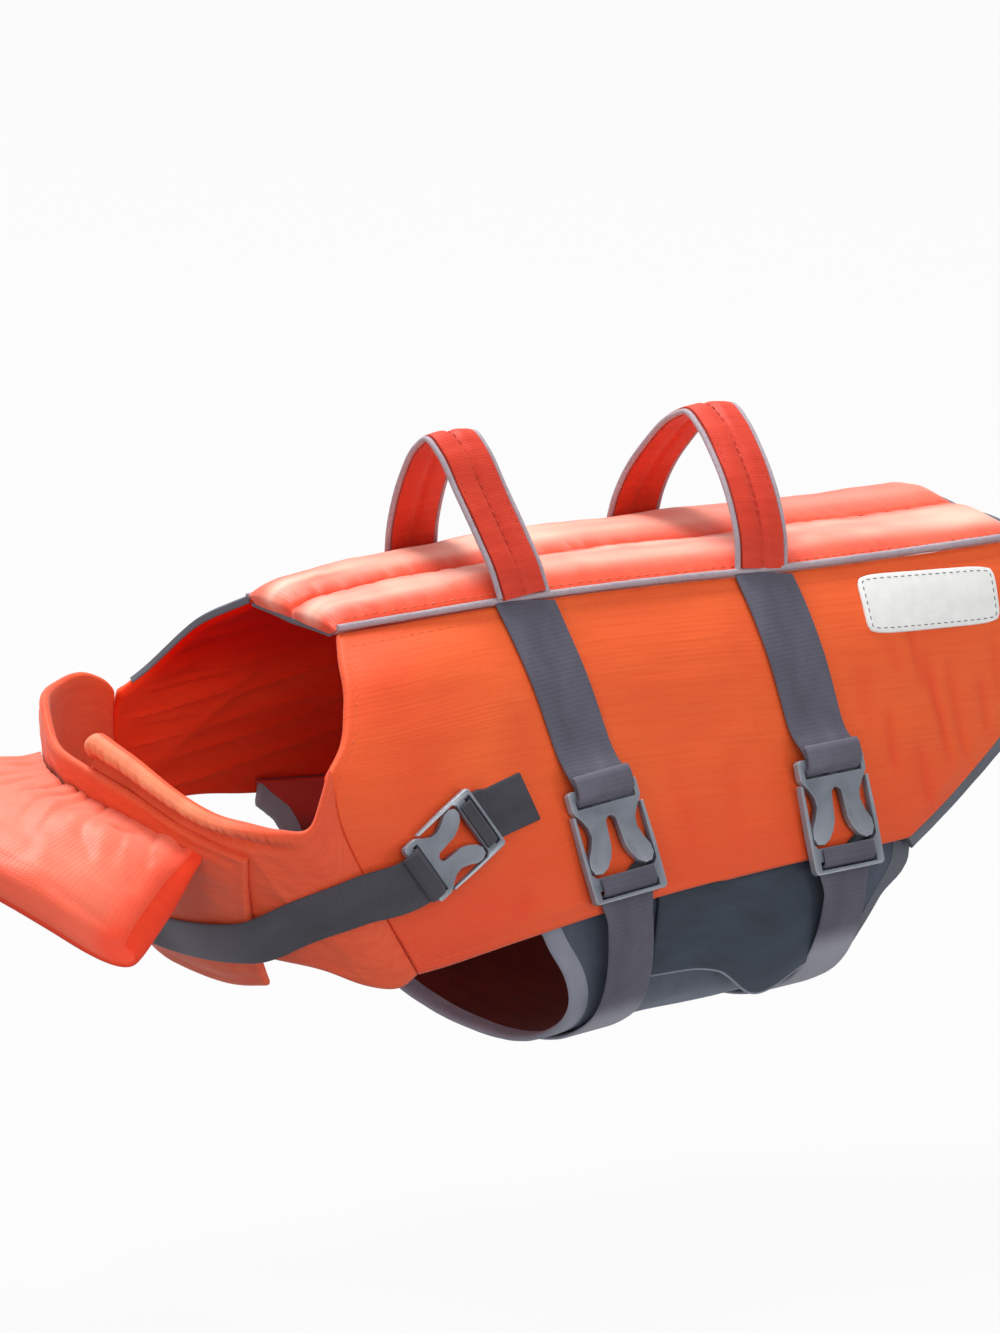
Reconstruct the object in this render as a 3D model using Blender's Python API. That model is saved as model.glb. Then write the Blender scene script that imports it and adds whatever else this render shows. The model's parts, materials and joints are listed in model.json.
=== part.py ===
"""Dog life jacket, buckled up and filled out with no wearer.

Frame: metres, +Z up, +X towards the tail, -Y on the dog's left. The origin lies on the lining of the
back panel, where the jacket sits on the dog's back. Tables and sizes below are millimetres, and each
mesh is scaled to metres as it is made.

The cloth is drawn on two skins. torso(x, girth) is the outer face of the jacket round the body, and
collar(turn, z) is the outer face of the two arms that close in front of the neck. Panels are walls on
these skins, and what lies on a panel is made from the same points, moved out.
"""
import math

import bmesh
import bpy
from mathutils import Matrix, Vector

MM = 0.001
SEAM = 0.3                      # gap between neighbouring pieces
NUDGE = 0.2                     # step used to measure a skin's slope
LEFT, RIGHT = -1, 1

# ------------------------------------------------------------------ walls
SIDE_WALL = 5.0
ARM_WALL = 4.0
BELLY_WALL = 2.0
BELLY_FLAP_WALL = 1.6
WEB, WEB_CLEAR = 1.5, 0.6       # webbing thickness, and its height above the curved panels
TAPE = 2.4                      # binding tape, folded round an edge
NECK_TAPE_WALL, NECK_TAPE_GAP = 1.2, 0.5        # facing tape on the lining at the neck edge
PIPING_RADIUS = 1.2
PIPING_OUT, PIPING_UP = 0.9, 1.2     # its middle, out from and above the edge of the back panel

# ------------------------------------------------------------------ back panel
BACK_FRONT, BACK_REAR = -152.0, 152.0
BACK_LINING = 3.0               # lining below the piping line
BACK_CREST = ((-152, 8.6), (0, 8.0), (152, 5.6))    # x, top of the two padded channels above the piping
BACK_GROOVE = ((-152, 2.3), (-73, 3.4), (31, 3.6), (152, 3.4))      # x, height of the sewn groove
BACK_RISE = ((-152, -4.0), (-73, 0.0), (0, 0.0), (31, -1.0), (152, -2.2))  # x, piping line
BACK_MITRE = 5.5                # the lining is this much narrower than the top on each side

# ------------------------------------------------------------------ torso skin
WIDE = 107.0                    # depth below the piping where the jacket is widest
KEEL = WIDE + 90.0              # girth value of the belly line: past WIDE, girth counts degrees
TORSO_DEPTHS = (0, 12, 25, 50, 80, WIDE)
TORSO = (
    # x,   half width at each depth,            depth of the belly line
    (-190, (30.0, 51.0, 66.0, 84.5, 89.5, 91.0), 205.0),
    (-150, (33.0, 55.5, 68.5, 83.0, 91.5, 94.5), 196.0),
    (-110, (38.0, 52.5, 64.0, 79.0, 91.5, 98.5), 184.0),
    (-73, (42.0, 52.0, 62.0, 76.0, 91.0, 100.0), 184.0),
    (-20, (46.0, 56.0, 66.0, 79.0, 92.5, 101.5), 178.5),
    (31, (48.5, 59.5, 69.0, 81.5, 94.0, 101.5), 174.0),
    (73, (49.0, 60.0, 69.0, 80.0, 90.0, 96.0), 169.0),
    (110, (49.0, 59.0, 66.5, 75.0, 82.0, 85.0), 162.0),
    (160, (48.0, 57.0, 63.0, 69.0, 73.0, 74.0), 155.0),
)
CORE_FRONT = -150.0             # the line x >= this, y = 0, z = CORE_Z runs inside the jacket
CORE_Z = -85.0

# ------------------------------------------------------------------ side panels
SIDE_COLUMNS, SIDE_ROWS = 26, 18
NECK_EDGE = ((-152, 0.3), (-160, 8.5), (-166, 19), (-174, 32), (-184, 41))   # x, depth below piping
REAR_EDGE = ((152, 0.3), (156, 24), (155, 42), (141, 57.5), (123, 71.5), (97, 88), (71, 101))
HEM = {   # x, z of the hem from front to rear
    LEFT: ((-151, -129), (-144, -128), (-110, -121), (-71, -114), (16, -105), (71, -104)),
    RIGHT: ((-168, -98), (-142, -97), (-117, -100), (-70, -104), (16, -105), (71, -104)),
}

# ------------------------------------------------------------------ collar skin
COLLAR = (
    # z,   x of the seam, reach in front of it, half width
    (-30, -187.0, 64.0, 81.0),
    (-44, -185.0, 64.0, 83.0),
    (-66, -183.0, 61.0, 87.0),
    (-86, -175.0, 58.0, 90.5),
    (-107, -164.0, 56.0, 92.0),
    (-129, -151.0, 54.0, 92.0),
    (-145, -141.0, 52.0, 91.0),
)
LEFT_ARM_END = 86.0             # degrees round from the left seam
LEFT_ARM_TOP = ((0, -45), (10, -64), (23, -66.5), (33, -65), (44, -62.5), (55, -55.5), (67, -46), (86, -36))
LEFT_ARM_BOTTOM = ((0, -129), (12, -134), (24, -132.5), (35, -127), (51, -124.5), (86, -124))
ARM_ROLL = 3.5                  # extra thickness of the rolled top edge
FLAP_TOP = ((36, -78), (46, -72), (55, -66), (67, -57), (85, -50), (105, -46), (128, -38), (150, -37.5),
            (168, -38), (180, -44))
FLAP_BOTTOM = ((50, -132), (57, -134), (69, -137), (90, -136), (115, -131), (140, -119), (165, -104), (180, -98))
FLAP_END_TOP, FLAP_END_BOTTOM = 37.0, 56.0      # degrees where the flap's free end crosses
FLAP_CLEAR = (92.0, 122.0)      # turns over which the flap comes back in to the skin

# ------------------------------------------------------------------ chin float
FLOAT_FROM, FLOAT_TO = 50.0, 132.0
FLOAT_LINE = ((50, -76), (60, -71.5), (75, -66), (90, -62), (110, -61), (132, -61))
FLOAT_REACH = ((50, 58), (75, 68), (105, 70), (132, 64))
FLOAT_DROP = ((50, 32), (60, 21), (72, 13), (90, 11), (110, 14), (132, 24))
FLOAT_ROOT, FLOAT_THICK = 9.0, 22.0

# ------------------------------------------------------------------ belly
BELLY_TUCK = 8.0                # how far the belly cloth goes up inside the hem
BELLY_FRONT = (   # girth, x of the U-shaped front edge
    (100, -100), (112, -90), (121, -84), (134, -73), (146, -66), (162, -62), (180, -60), (197, -60),
    (225, -68), (255, -82), (272, -91), (284, -97), (299, -112))
BELLY_REAR = ((100, 70), (112, 66), (124, 57), (136, 51), (160, 51.5), (197, 53), (234, 52), (258, 52),
              (270, 57), (282, 66), (299, 70))
BELLY_EASE = 48.0               # girth over which the belly cloth comes out level with the skin
BELLY_CROWD = 1.6               # crowds the belly panel's rows towards its front
FLAP_FRONT, FLAP_REAR = -44.0, 50.0
BELLY_FLAP_HEM = ((-44, 138), (-12, 140), (12, 150), (26, 143), (50, 138))      # x, girth
BELLY_FLAP_CURL = ((-44, 0.0), (-12, 0.6), (14, 3.5), (28, 1.0), (50, 0.0))     # x, lift of its hem

# ------------------------------------------------------------------ webbing
GIRTH_WEB, BELLY_WEB, NECK_WEB = 25.0, 20.0, 20.0
GIRTH_STRAPS = {   # girth, x of the centre line
    "front": ((0, -73.5), (50, -68.5), (107, -62.5), (138, -55), (165, -48), (197, -44),
              (229, -48), (256, -55), (287, -62.5), (344, -68.5), (394, -73.5)),
    "rear": ((0, 31), (50, 33.5), (107, 36), (138, 37.5), (165, 39.5), (197, 41),
             (229, 39.5), (256, 37.5), (287, 36), (344, 33.5), (394, 31)),
}
BUCKLE_MIDDLE = 87.0            # depth of the girth buckles' middle
BUCKLE_LENGTH, BUCKLE_PLATE = 45.0, 3.6
BUCKLE_DRAWN = 50.0             # length at which the outlines below are drawn
BUCKLE_STANDOFF = 1.2           # height of the buckle's back face above the panel at its middle
NECK_BUCKLE_SCALE, NECK_BUCKLE_STANDOFF = 0.84, 2.4
NECK_BUCKLE_LENGTH = BUCKLE_LENGTH * NECK_BUCKLE_SCALE
NECK_BUCKLE_CENTRE = (-137.0, 76.0)       # x, depth
NECK_BUCKLE_RISE = 28.0                   # degrees
NECK_PATCH_CENTRE = (-106.5, 66.5)        # x, depth
NECK_PATCH_LENGTH = 18.0

# ------------------------------------------------------------------ handles
HANDLES = {
    # name: x at the base, x at the top, then (y, z above the piping) from left to right
    "front": (-73.5, -80.0, ((-43, 3.8), (-39.5, 12), (-32, 22.5), (-18.5, 39.5), (-7.5, 53), (0, 57.5), (9, 53),
                             (23, 38), (32, 24), (38, 11), (40, 4))),
    "rear": (31.0, 38.0, ((-48.5, 3.3), (-46, 13), (-41, 22), (-33, 32), (-22, 42), (-10, 50.5), (0, 54.5), (10, 51),
                          (28, 36), (40, 21), (45, 10), (46.5, 3.3))),
}
HANDLE_WIDTH, HANDLE_WALL, HANDLE_EDGE = 18.6, 3.0, 1.1

LABEL_CENTRE, LABEL_SIZE, LABEL_WALL = (100.0, 16.5), (62.0, 20.0), 1.0    # x and depth; length, height
LABEL_TILT = 0.05

COLOURS = {   # sRGB-like linear colours, roughness
    "orange_cloth": ((0.78, 0.12, 0.03), 0.75),
    "orange_float": ((0.85, 0.20, 0.10), 0.7),
    "belly_neoprene": ((0.03, 0.04, 0.06), 0.8),
    "grey_webbing": ((0.10, 0.10, 0.13), 0.85),
    "grey_tape": ((0.12, 0.13, 0.15), 0.8),
    "pale_piping": ((0.38, 0.33, 0.38), 0.6),
    "grey_plastic": ((0.16, 0.18, 0.22), 0.4),
    "white_label": ((0.8, 0.8, 0.8), 0.6),
}


# ------------------------------------------------------------------ small maths
def smooth(rows, at, column=1):
    """The smooth curve through a table's rows, read at a value of its first column."""
    keys = [row[0] for row in rows]
    values = [row[column] for row in rows]
    last = len(keys) - 1
    i = 0
    while i < last - 1 and at > keys[i + 1]:
        i += 1

    def secant(j):
        return (values[j + 1] - values[j]) / (keys[j + 1] - keys[j])

    def slope(j):
        if j == 0:
            return secant(0)
        if j == last:
            return secant(last - 1)
        before, after = keys[j] - keys[j - 1], keys[j + 1] - keys[j]
        return (secant(j - 1) * after + secant(j) * before) / (before + after)

    span = keys[i + 1] - keys[i]
    t = (at - keys[i]) / span
    if t < 0:
        return values[0] + slope(0) * (at - keys[0])
    if t > 1:
        return values[last] + slope(last) * (at - keys[last])
    ease = t * t * (3 - 2 * t)
    bend = t * (1 - t)
    return (values[i] * (1 - ease) + values[i + 1] * ease
            + span * bend * ((1 - t) * slope(i) - t * slope(i + 1)))


def blend(a, b, t):
    return a + (b - a) * t


def ramp(t):
    """0 below 0, 1 above 1, and smooth between."""
    t = min(max(t, 0.0), 1.0)
    return t * t * (3 - 2 * t)


def through(points, count):
    """count + 1 points along the smooth curve through the given ones."""
    run = [0.0]
    for before, after in zip(points, points[1:]):
        run.append(run[-1] + (Vector(after) - Vector(before)).length)
    tables = [[(d, p[axis]) for d, p in zip(run, points)] for axis in range(len(points[0]))]
    return [Vector([smooth(table, run[-1] * k / count) for table in tables]) for k in range(count + 1)]


# ------------------------------------------------------------------ the two skins
def piping_level(x):
    return BACK_LINING + smooth(BACK_RISE, x)


def half_width(x, depth):
    rows = [(station, smooth(list(zip(TORSO_DEPTHS, halves)), depth)) for station, halves, _ in TORSO]
    return smooth(rows, x)


def torso(x, girth):
    """Outer face of the jacket. girth is the depth below the piping on the left side down to WIDE, then
    degrees round the belly, and the same again backwards up the right side, 0 to 2 * KEEL in all."""
    side = LEFT
    if girth > KEEL:
        side, girth = RIGHT, 2 * KEEL - girth
    belly = smooth([(row[0], row[2]) for row in TORSO], x)
    if girth <= WIDE:
        half, depth = half_width(x, girth), girth
    else:
        angle = math.radians(girth - WIDE)
        half = half_width(x, WIDE) * math.cos(angle)
        depth = WIDE + (belly - WIDE) * math.sin(angle)
    return Vector((x, side * half, piping_level(x) - depth))


def girth_at(x, depth, side=LEFT):
    """The girth value of a point at a depth below the piping."""
    if depth > WIDE:
        belly = smooth([(row[0], row[2]) for row in TORSO], x)
        depth = WIDE + math.degrees(math.asin((depth - WIDE) / (belly - WIDE)))
    return depth if side == LEFT else 2 * KEEL - depth


def collar(turn, z):
    """Outer face of the collar: turn is 0 at the left seam, 90 at the front and 180 at the right seam."""
    angle = math.radians(turn)
    seam_x, reach, half = (smooth([(-row[0],) + row[1:] for row in COLLAR], -z, c) for c in (1, 2, 3))
    return Vector((seam_x - reach * math.sin(angle), -half * math.cos(angle), z + BACK_LINING))


def outward(skin, a, b):
    """Unit vector square to a skin, pointing away from the inside of the jacket."""
    here = skin(a, b)
    square = (skin(a + NUDGE, b) - here).cross(skin(a, b + NUDGE) - here).normalized()
    core = Vector((max(here.x, CORE_FRONT), 0, CORE_Z))
    return square if square.dot(here - core) > 0 else -square


def lifted(skin, a, b, height):
    """The point of a skin moved out by a height, or in by a negative one."""
    return skin(a, b) + outward(skin, a, b) * height


# ------------------------------------------------------------------ making objects
def material(name):
    found = bpy.data.materials.get(name)
    if found:
        return found
    colour, roughness = COLOURS[name]
    made = bpy.data.materials.new(name)
    made.use_nodes = True
    shader = made.node_tree.nodes["Principled BSDF"]
    shader.inputs["Base Color"].default_value = (*colour, 1)
    shader.inputs["Roughness"].default_value = roughness
    shader.inputs["Metallic"].default_value = 0.0
    return made


def keep(name, bm, finish):
    """Scale a finished bmesh to metres and put it in the jacket's collection."""
    bmesh.ops.scale(bm, vec=(MM, MM, MM), verts=bm.verts)
    bmesh.ops.recalc_face_normals(bm, faces=bm.faces)
    mesh = bpy.data.meshes.new(name)
    bm.to_mesh(mesh)
    bm.free()
    mesh.materials.append(material(finish))
    mesh.shade_smooth()
    mesh.set_sharp_from_angle(angle=math.radians(40))
    made = bpy.data.objects.new(name, mesh)
    bpy.data.collections["dog_life_jacket"].objects.link(made)
    return made


def wall(name, finish, across, along, place):
    """A closed wall: a flat grid pulled out to a second layer, each point moved to place(u, v, w), where
    u runs across, v along, and w is 0 on the inner face and 1 on the outer one."""
    bm = bmesh.new()
    bmesh.ops.create_grid(bm, x_segments=across, y_segments=along, size=0.5)
    inner = set(bm.verts)
    bmesh.ops.extrude_face_region(bm, geom=bm.faces[:], use_keep_orig=True)
    for vert in bm.verts:
        u, v = round(vert.co.x + 0.5, 6), round(vert.co.y + 0.5, 6)
        vert.co = place(u, v, 0 if vert in inner else 1)
    return keep(name, bm, finish)


def ribbon(name, finish, stations, width, thick, across=1):
    """Webbing along stations of (middle point, direction across). Its thickness is square to both."""
    last = len(stations) - 1

    def place(u, v, w):
        i = round(v * last)
        middle, side = stations[i]
        ahead = stations[min(i + 1, last)][0] - stations[max(i - 1, 0)][0]
        up = side.cross(ahead).normalized()
        return middle + side.normalized() * (u - 0.5) * width + up * (w - 0.5) * thick

    return wall(name, finish, across, last, place)


def cord(name, finish, points, radius):
    """A round cord through points, with filled ends."""
    curve = bpy.data.curves.new(name, "CURVE")
    curve.dimensions = "3D"
    curve.bevel_depth = radius * MM
    curve.bevel_resolution = 1
    curve.use_fill_caps = True
    line = curve.splines.new("POLY")
    line.points.add(len(points) - 1)
    for target, point in zip(line.points, points):
        target.co = (*(point * MM), 1)
    curve.materials.append(material(finish))
    made = bpy.data.objects.new(name, curve)
    bpy.data.collections["dog_life_jacket"].objects.link(made)
    return made


def plate(name, finish, outlines, thick, seat):
    """A flat plate in a frame: outlines are closed lists of (across, down), holes among them, and the
    seat matrix carries (across, down, out) to the jacket."""
    curve = bpy.data.curves.new(name + "_outline", "CURVE")
    curve.dimensions = "2D"
    curve.fill_mode = "BOTH"
    curve.extrude = thick / 2
    for outline in outlines:
        line = curve.splines.new("POLY")
        line.points.add(len(outline) - 1)
        line.use_cyclic_u = True
        for target, (across, down) in zip(line.points, outline):
            target.co = (across, down, 0, 1)
    drawn = bpy.data.objects.new(name + "_outline", curve)
    bpy.context.scene.collection.objects.link(drawn)
    bpy.context.view_layer.update()
    evaluated = drawn.evaluated_get(bpy.context.evaluated_depsgraph_get())
    mesh = bpy.data.meshes.new_from_object(evaluated)
    bm = bmesh.new()
    bm.from_mesh(mesh)
    bmesh.ops.remove_doubles(bm, verts=bm.verts, dist=0.001)
    bmesh.ops.transform(bm, matrix=seat @ Matrix.Translation((0, 0, thick / 2)), verts=bm.verts)
    bpy.data.objects.remove(drawn)
    bpy.data.meshes.remove(mesh)
    bpy.data.curves.remove(curve)
    return keep(name, bm, finish)


# ------------------------------------------------------------------ back panel and piping
def back_point(x, t, top):
    """t runs from -1 at the left piping to 1 at the right one."""
    half = half_width(x, 0) - SEAM
    groove, crest = smooth(BACK_GROOVE, x), smooth(BACK_CREST, x)
    if top:
        height = (1 - t ** 6) * groove + (crest - groove) * abs(math.sin(math.pi * t)) ** 1.2
        return Vector((x, half * t, piping_level(x) + max(height, 0.3)))
    return Vector((x, (half - BACK_MITRE) * t, piping_level(x) - BACK_LINING))


def build_back():
    def place(u, v, w):
        return back_point(blend(BACK_FRONT, BACK_REAR, v), 2 * u - 1, w)
    wall("back_panel", "orange_cloth", 20, 16, place)


def piping_line(side):
    out = Vector((0, side * PIPING_OUT, PIPING_UP))
    return [torso(x, 0 if side == LEFT else 2 * KEEL) + out for x in stations_between(BACK_FRONT, BACK_REAR, 20)]


def stations_between(start, end, count):
    return [blend(start, end, i / count) for i in range(count + 1)]


# ------------------------------------------------------------------ side panels
def front_edge(side, v):
    """(x, depth) down the front of a side panel: the neck edge, then the seam to the collar arm."""
    hem_x, hem_z = HEM[side][0]
    notch_z = piping_level(NECK_EDGE[-1][0]) - NECK_EDGE[-1][1] - BACK_LINING
    neck_share = 0.34
    if v <= neck_share:
        point = through(NECK_EDGE, 34)[round(v / neck_share * 34)]
        return point.x, point.y
    z = blend(notch_z, hem_z, (v - neck_share) / (1 - neck_share))
    x = collar(0, z).x + SEAM
    return x, piping_level(x) - BACK_LINING - z


def rear_edge(v):
    point = through(REAR_EDGE, 60)[round(v * 60)]
    return point.x, point.y


def hem_line(side, u):
    rows = HEM[side]
    x = blend(rows[0][0], rows[-1][0], u)
    return x, piping_level(x) - BACK_LINING - smooth(rows, x)


def top_line(u):
    return blend(BACK_FRONT, BACK_REAR, u), 0.3


def side_skin(side):
    """A Coons patch in (x, depth) between the panel's four edges, laid on the torso."""
    corners = {(0, 0): top_line(0), (1, 0): top_line(1), (0, 1): hem_line(side, 0), (1, 1): hem_line(side, 1)}

    def patch(u, v):
        top, low = top_line(u), hem_line(side, u)
        front, rear = front_edge(side, v), rear_edge(v)
        spot = []
        for k in (0, 1):
            ruled = (1 - v) * top[k] + v * low[k] + (1 - u) * front[k] + u * rear[k]
            corner = ((1 - u) * (1 - v) * corners[0, 0][k] + u * (1 - v) * corners[1, 0][k]
                      + (1 - u) * v * corners[0, 1][k] + u * v * corners[1, 1][k])
            spot.append(ruled - corner)
        return spot
    return patch


def build_side(side, name):
    patch = side_skin(side)

    def place(u, v, w):
        x, depth = patch(u, v)
        return lifted(torso, x, girth_at(x, depth, side), SIDE_WALL * (w - 1))
    wall(name, "orange_cloth", SIDE_COLUMNS, SIDE_ROWS, place)


# ------------------------------------------------------------------ collar
def build_left_arm():
    def place(u, v, w):
        turn = blend(0.5, LEFT_ARM_END, u)
        z = blend(smooth(LEFT_ARM_TOP, turn), smooth(LEFT_ARM_BOTTOM, turn), v)
        thick = ARM_WALL + ARM_ROLL * ramp(1 - v * 7) * ramp(turn / 20)
        return lifted(collar, turn, z, thick * (w - 1))
    wall("collar_arm_left", "orange_cloth", 16, 8, place)


def flap_lift(turn):
    start, end = FLAP_CLEAR
    return (ARM_WALL + SEAM) * (1 - ramp((turn - start) / (end - start)))


def build_flap():
    def place(u, v, w):
        start = blend(FLAP_END_TOP, FLAP_END_BOTTOM, v)
        turn = blend(start, 179.5, u)
        z = blend(smooth(FLAP_TOP, turn), smooth(FLAP_BOTTOM, turn), v)
        return lifted(collar, turn, z, flap_lift(turn) + ARM_WALL * (w - 1))
    wall("collar_arm_right_flap", "orange_cloth", 24, 8, place)


def build_float():
    def place(u, v, w):
        turn = blend(FLOAT_FROM, FLOAT_TO, u)
        z = smooth(FLOAT_LINE, turn)
        out = outward(collar, turn, z)
        out.z = 0
        out.normalize()
        root = collar(turn, z) + out * (flap_lift(turn) + 1.2)
        ends = min(u, 1 - u) * 2
        edge = 0.42 + 0.58 * ramp(ends * 5)
        rim = 0.40 + 0.60 * ramp((1 - v) * 5)
        thick = blend(FLOAT_ROOT, FLOAT_THICK, ramp(v * 2.5)) * edge * rim
        return (root + out * smooth(FLOAT_REACH, turn) * v
                + Vector((0, 0, -smooth(FLOAT_DROP, turn) * v + thick * (w - 0.5) - FLOAT_ROOT * 0.3)))
    wall("chin_float", "orange_float", 16, 8, place)


# ------------------------------------------------------------------ belly
def hem_girth(x, side):
    rows = HEM[side]
    x = max(rows[0][0], min(rows[-1][0], x))
    return girth_at(x, piping_level(x) - BACK_LINING - smooth(rows, x), side)


def belly_height(x, girth):
    """Height of the belly cloth's outer face over the torso skin: tucked in under the hems."""
    from_left = (girth - hem_girth(x, LEFT)) / BELLY_EASE
    from_right = (hem_girth(x, RIGHT) - girth) / BELLY_EASE
    deep_left = SIDE_WALL + BELLY_FLAP_WALL + 2 * SEAM + 0.4
    deep_right = SIDE_WALL + SEAM + 0.4
    return -deep_left * (1 - ramp(from_left)) - deep_right * (1 - ramp(from_right))


def belly_spot(u, v):
    """(x, girth) of the belly panel, u from left to right and v from front to rear."""
    girth = blend(100, 2 * KEEL - 94, u)
    x = blend(smooth(BELLY_FRONT, girth), smooth(BELLY_REAR, girth), v)
    low, high = hem_girth(x, LEFT) - BELLY_TUCK, hem_girth(x, RIGHT) + BELLY_TUCK
    girth = blend(low, high, u)
    return blend(smooth(BELLY_FRONT, girth), smooth(BELLY_REAR, girth), v), girth


def belly_point(x, girth, extra=0.0):
    return lifted(torso, x, girth, belly_height(x, girth) + extra)


def build_belly():
    def place(u, v, w):
        x, girth = belly_spot(u, v ** BELLY_CROWD)
        return belly_point(x, girth, BELLY_WALL * (w - 1))
    wall("belly_panel", "belly_neoprene", 28, 14, place)

    def flap_place(u, v, w):
        x = blend(FLAP_FRONT, FLAP_REAR, u)
        girth = blend(hem_girth(x, LEFT) - BELLY_TUCK + 1, smooth(BELLY_FLAP_HEM, x), v)
        curl = smooth(BELLY_FLAP_CURL, x) * v ** 3
        return belly_point(x, girth, SEAM + curl + BELLY_FLAP_WALL * w)
    wall("belly_flap", "belly_neoprene", 14, 6, flap_place)


# ------------------------------------------------------------------ tapes on the edges
def on_rows(point, value, count):
    """The point at a value between a wall's rows, on its flat faces."""
    row = min(int(value * count), count - 1)
    return point(row / count).lerp(point((row + 1) / count), value * count - row)


def tape(name, finish, edge, width, thick):
    """A band that goes on from a wall's edge. edge is a list of (outer point, inner point, way out)."""
    def place(u, v, w):
        outer, inner, away = edge[round(v * (len(edge) - 1))]
        square = (outer - inner).normalized()
        middle = (outer + inner) / 2
        return middle + away * (SEAM + width * u) + square * thick * (w - 0.5)
    wall(name, finish, 1, len(edge) - 1, place)


def edge_of(point, values, inside, thick):
    """Frames for tape(): point(value, height) on the edge, inside(value) a little way into the wall."""
    frames = []
    outers = [point(value, 0) for value in values]
    for i, value in enumerate(values):
        outer, inner = outers[i], point(value, -thick)
        run = (outers[min(i + 1, len(values) - 1)] - outers[max(i - 1, 0)]).normalized()
        away = outer - inside(value)
        away -= run * away.dot(run)
        frames.append((outer, inner, away.normalized()))
    return frames


def build_tapes():
    for side, name in ((LEFT, "left"), (RIGHT, "right")):
        patch = side_skin(side)

        def side_spot(u, v, height, patch=patch, side=side):
            x, depth = patch(u, v)
            return lifted(torso, x, girth_at(x, depth, side), height)

        def facing(u, v, w, side_spot=side_spot):
            height = -SIDE_WALL - NECK_TAPE_GAP - NECK_TAPE_WALL * w
            front, behind = (on_rows(lambda row: side_spot(column, row, height), blend(0.03, 0.31, v), SIDE_ROWS)
                             for column in (0, 1 / SIDE_COLUMNS))
            return front.lerp(behind, u * 0.45)
        wall("neck_tape_" + name, "grey_tape", 1, 12, facing)
        rows = [0.02] + [row / SIDE_ROWS for row in range(1, SIDE_ROWS)] + [0.99]
        rear = edge_of(lambda v, h: side_spot(1, v, h), rows, lambda v: side_spot(0.98, v, 0), SIDE_WALL)
        tape("rear_tape_" + name, "grey_tape", rear, 7.0, TAPE)

    back = [(back_point(BACK_REAR, t, 1), back_point(BACK_REAR, t, 0), Vector((1, 0, 0)))
            for t in stations_between(-0.93, 0.93, 16)]
    tape("rear_tape_back", "grey_tape", back, 4.0, TAPE)

    values = stations_between(0.04, 0.93, 24)
    front = edge_of(lambda u, h: belly_point(*belly_spot(u, 0), h), values,
                    lambda u: belly_point(*belly_spot(u, 0.02)), BELLY_WALL)
    tape("belly_front_tape", "grey_tape", front, 8.0, TAPE)
    rear = edge_of(lambda u, h: belly_point(*belly_spot(u, 1), h), values,
                   lambda u: belly_point(*belly_spot(u, 0.98)), BELLY_WALL)
    tape("belly_rear_tape", "grey_tape", rear, 5.0, TAPE)


# ------------------------------------------------------------------ buckles
def mirrored(half_outline):
    """A closed outline from its right half, listed from the middle top to the middle bottom."""
    return half_outline + [(-across, down) for across, down in reversed(half_outline) if across > 0]


PLUG_OUTLINE = mirrored([(0, 0), (15.5, 0), (15.5, 9.0), (13.2, 9.6), (13.0, 12), (10.2, 17), (9.6, 22), (11.4, 27.5),
                         (13.4, 31), (13.4, 34.5), (11.0, 37.2), (8.0, 36.2), (4.6, 32.0), (2.6, 28.5),
                         (2.3, 20), (2.2, 15), (0, 13)])
PLUG_SLOT = [(-13, 4.8), (13, 4.8), (13, 8.2), (-13, 8.2)]
SOCKET_OUTLINE = mirrored([(0, 38.6), (13.9, 38.6), (13.9, 10.2), (15.5, 10.2), (16.2, 30), (15.9, 50), (0, 50)])
SOCKET_SLOT = [(-13, 44.6), (13, 44.6), (13, 48.0), (-13, 48.0)]
ROUND_PLUG_BAR = ((-0.6, 0), (2.5, 0), (4.6, 0.1), (6.1, -0.6), (6.9, -2.4), (7.0, -4.2))     # down, out
ROUND_SOCKET_BAR = ((39.2, 0), (41.0, 0), (44.4, 0.1), (45.9, -0.6), (46.7, -2.4), (46.8, -4.2))


def buckle(name, seat, scale=1.0):
    """Plug half with its two spring legs, and socket half with its side rails."""
    def sized(outline):
        return [(across * scale, down * scale * BUCKLE_LENGTH / BUCKLE_DRAWN) for across, down in outline]
    plate(name + "_plug", "grey_plastic", [sized(PLUG_OUTLINE), sized(PLUG_SLOT)], BUCKLE_PLATE * scale, seat)
    plate(name + "_socket", "grey_plastic", [sized(SOCKET_OUTLINE), sized(SOCKET_SLOT)], BUCKLE_PLATE * scale, seat)


def seat_on(top, bottom, hint, length, standoff):
    """Frame of a flat fitting whose ends lie near two points of a skin, and whose face looks along hint."""
    down = (bottom - top).normalized()
    across = hint.cross(down).normalized()
    out = down.cross(across).normalized()
    start = (top + bottom) / 2 - down * length / 2 + out * standoff
    return Matrix((
        (across.x, down.x, out.x, start.x),
        (across.y, down.y, out.y, start.y),
        (across.z, down.z, out.z, start.z),
        (0, 0, 0, 1)))


# ------------------------------------------------------------------ webbing
def girth_station(which, girth, height):
    x = smooth(GIRTH_STRAPS[which], girth)
    ahead = torso(x + 1, girth) - torso(x - 1, girth)
    return lifted(torso, x, girth, height + WEB / 2), ahead


def girth_seat(which):
    x = smooth(GIRTH_STRAPS[which], BUCKLE_MIDDLE)
    ends = [girth_station(which, BUCKLE_MIDDLE + end * BUCKLE_LENGTH * 0.46, -WEB / 2)[0] for end in (-1, 1)]
    middle = torso(x, BUCKLE_MIDDLE)
    out = outward(torso, x, BUCKLE_MIDDLE)
    sag = (middle - (ends[0] + ends[1]) / 2).dot(out)
    return seat_on(ends[0], ends[1], out, BUCKLE_LENGTH, sag + BUCKLE_STANDOFF)


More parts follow.
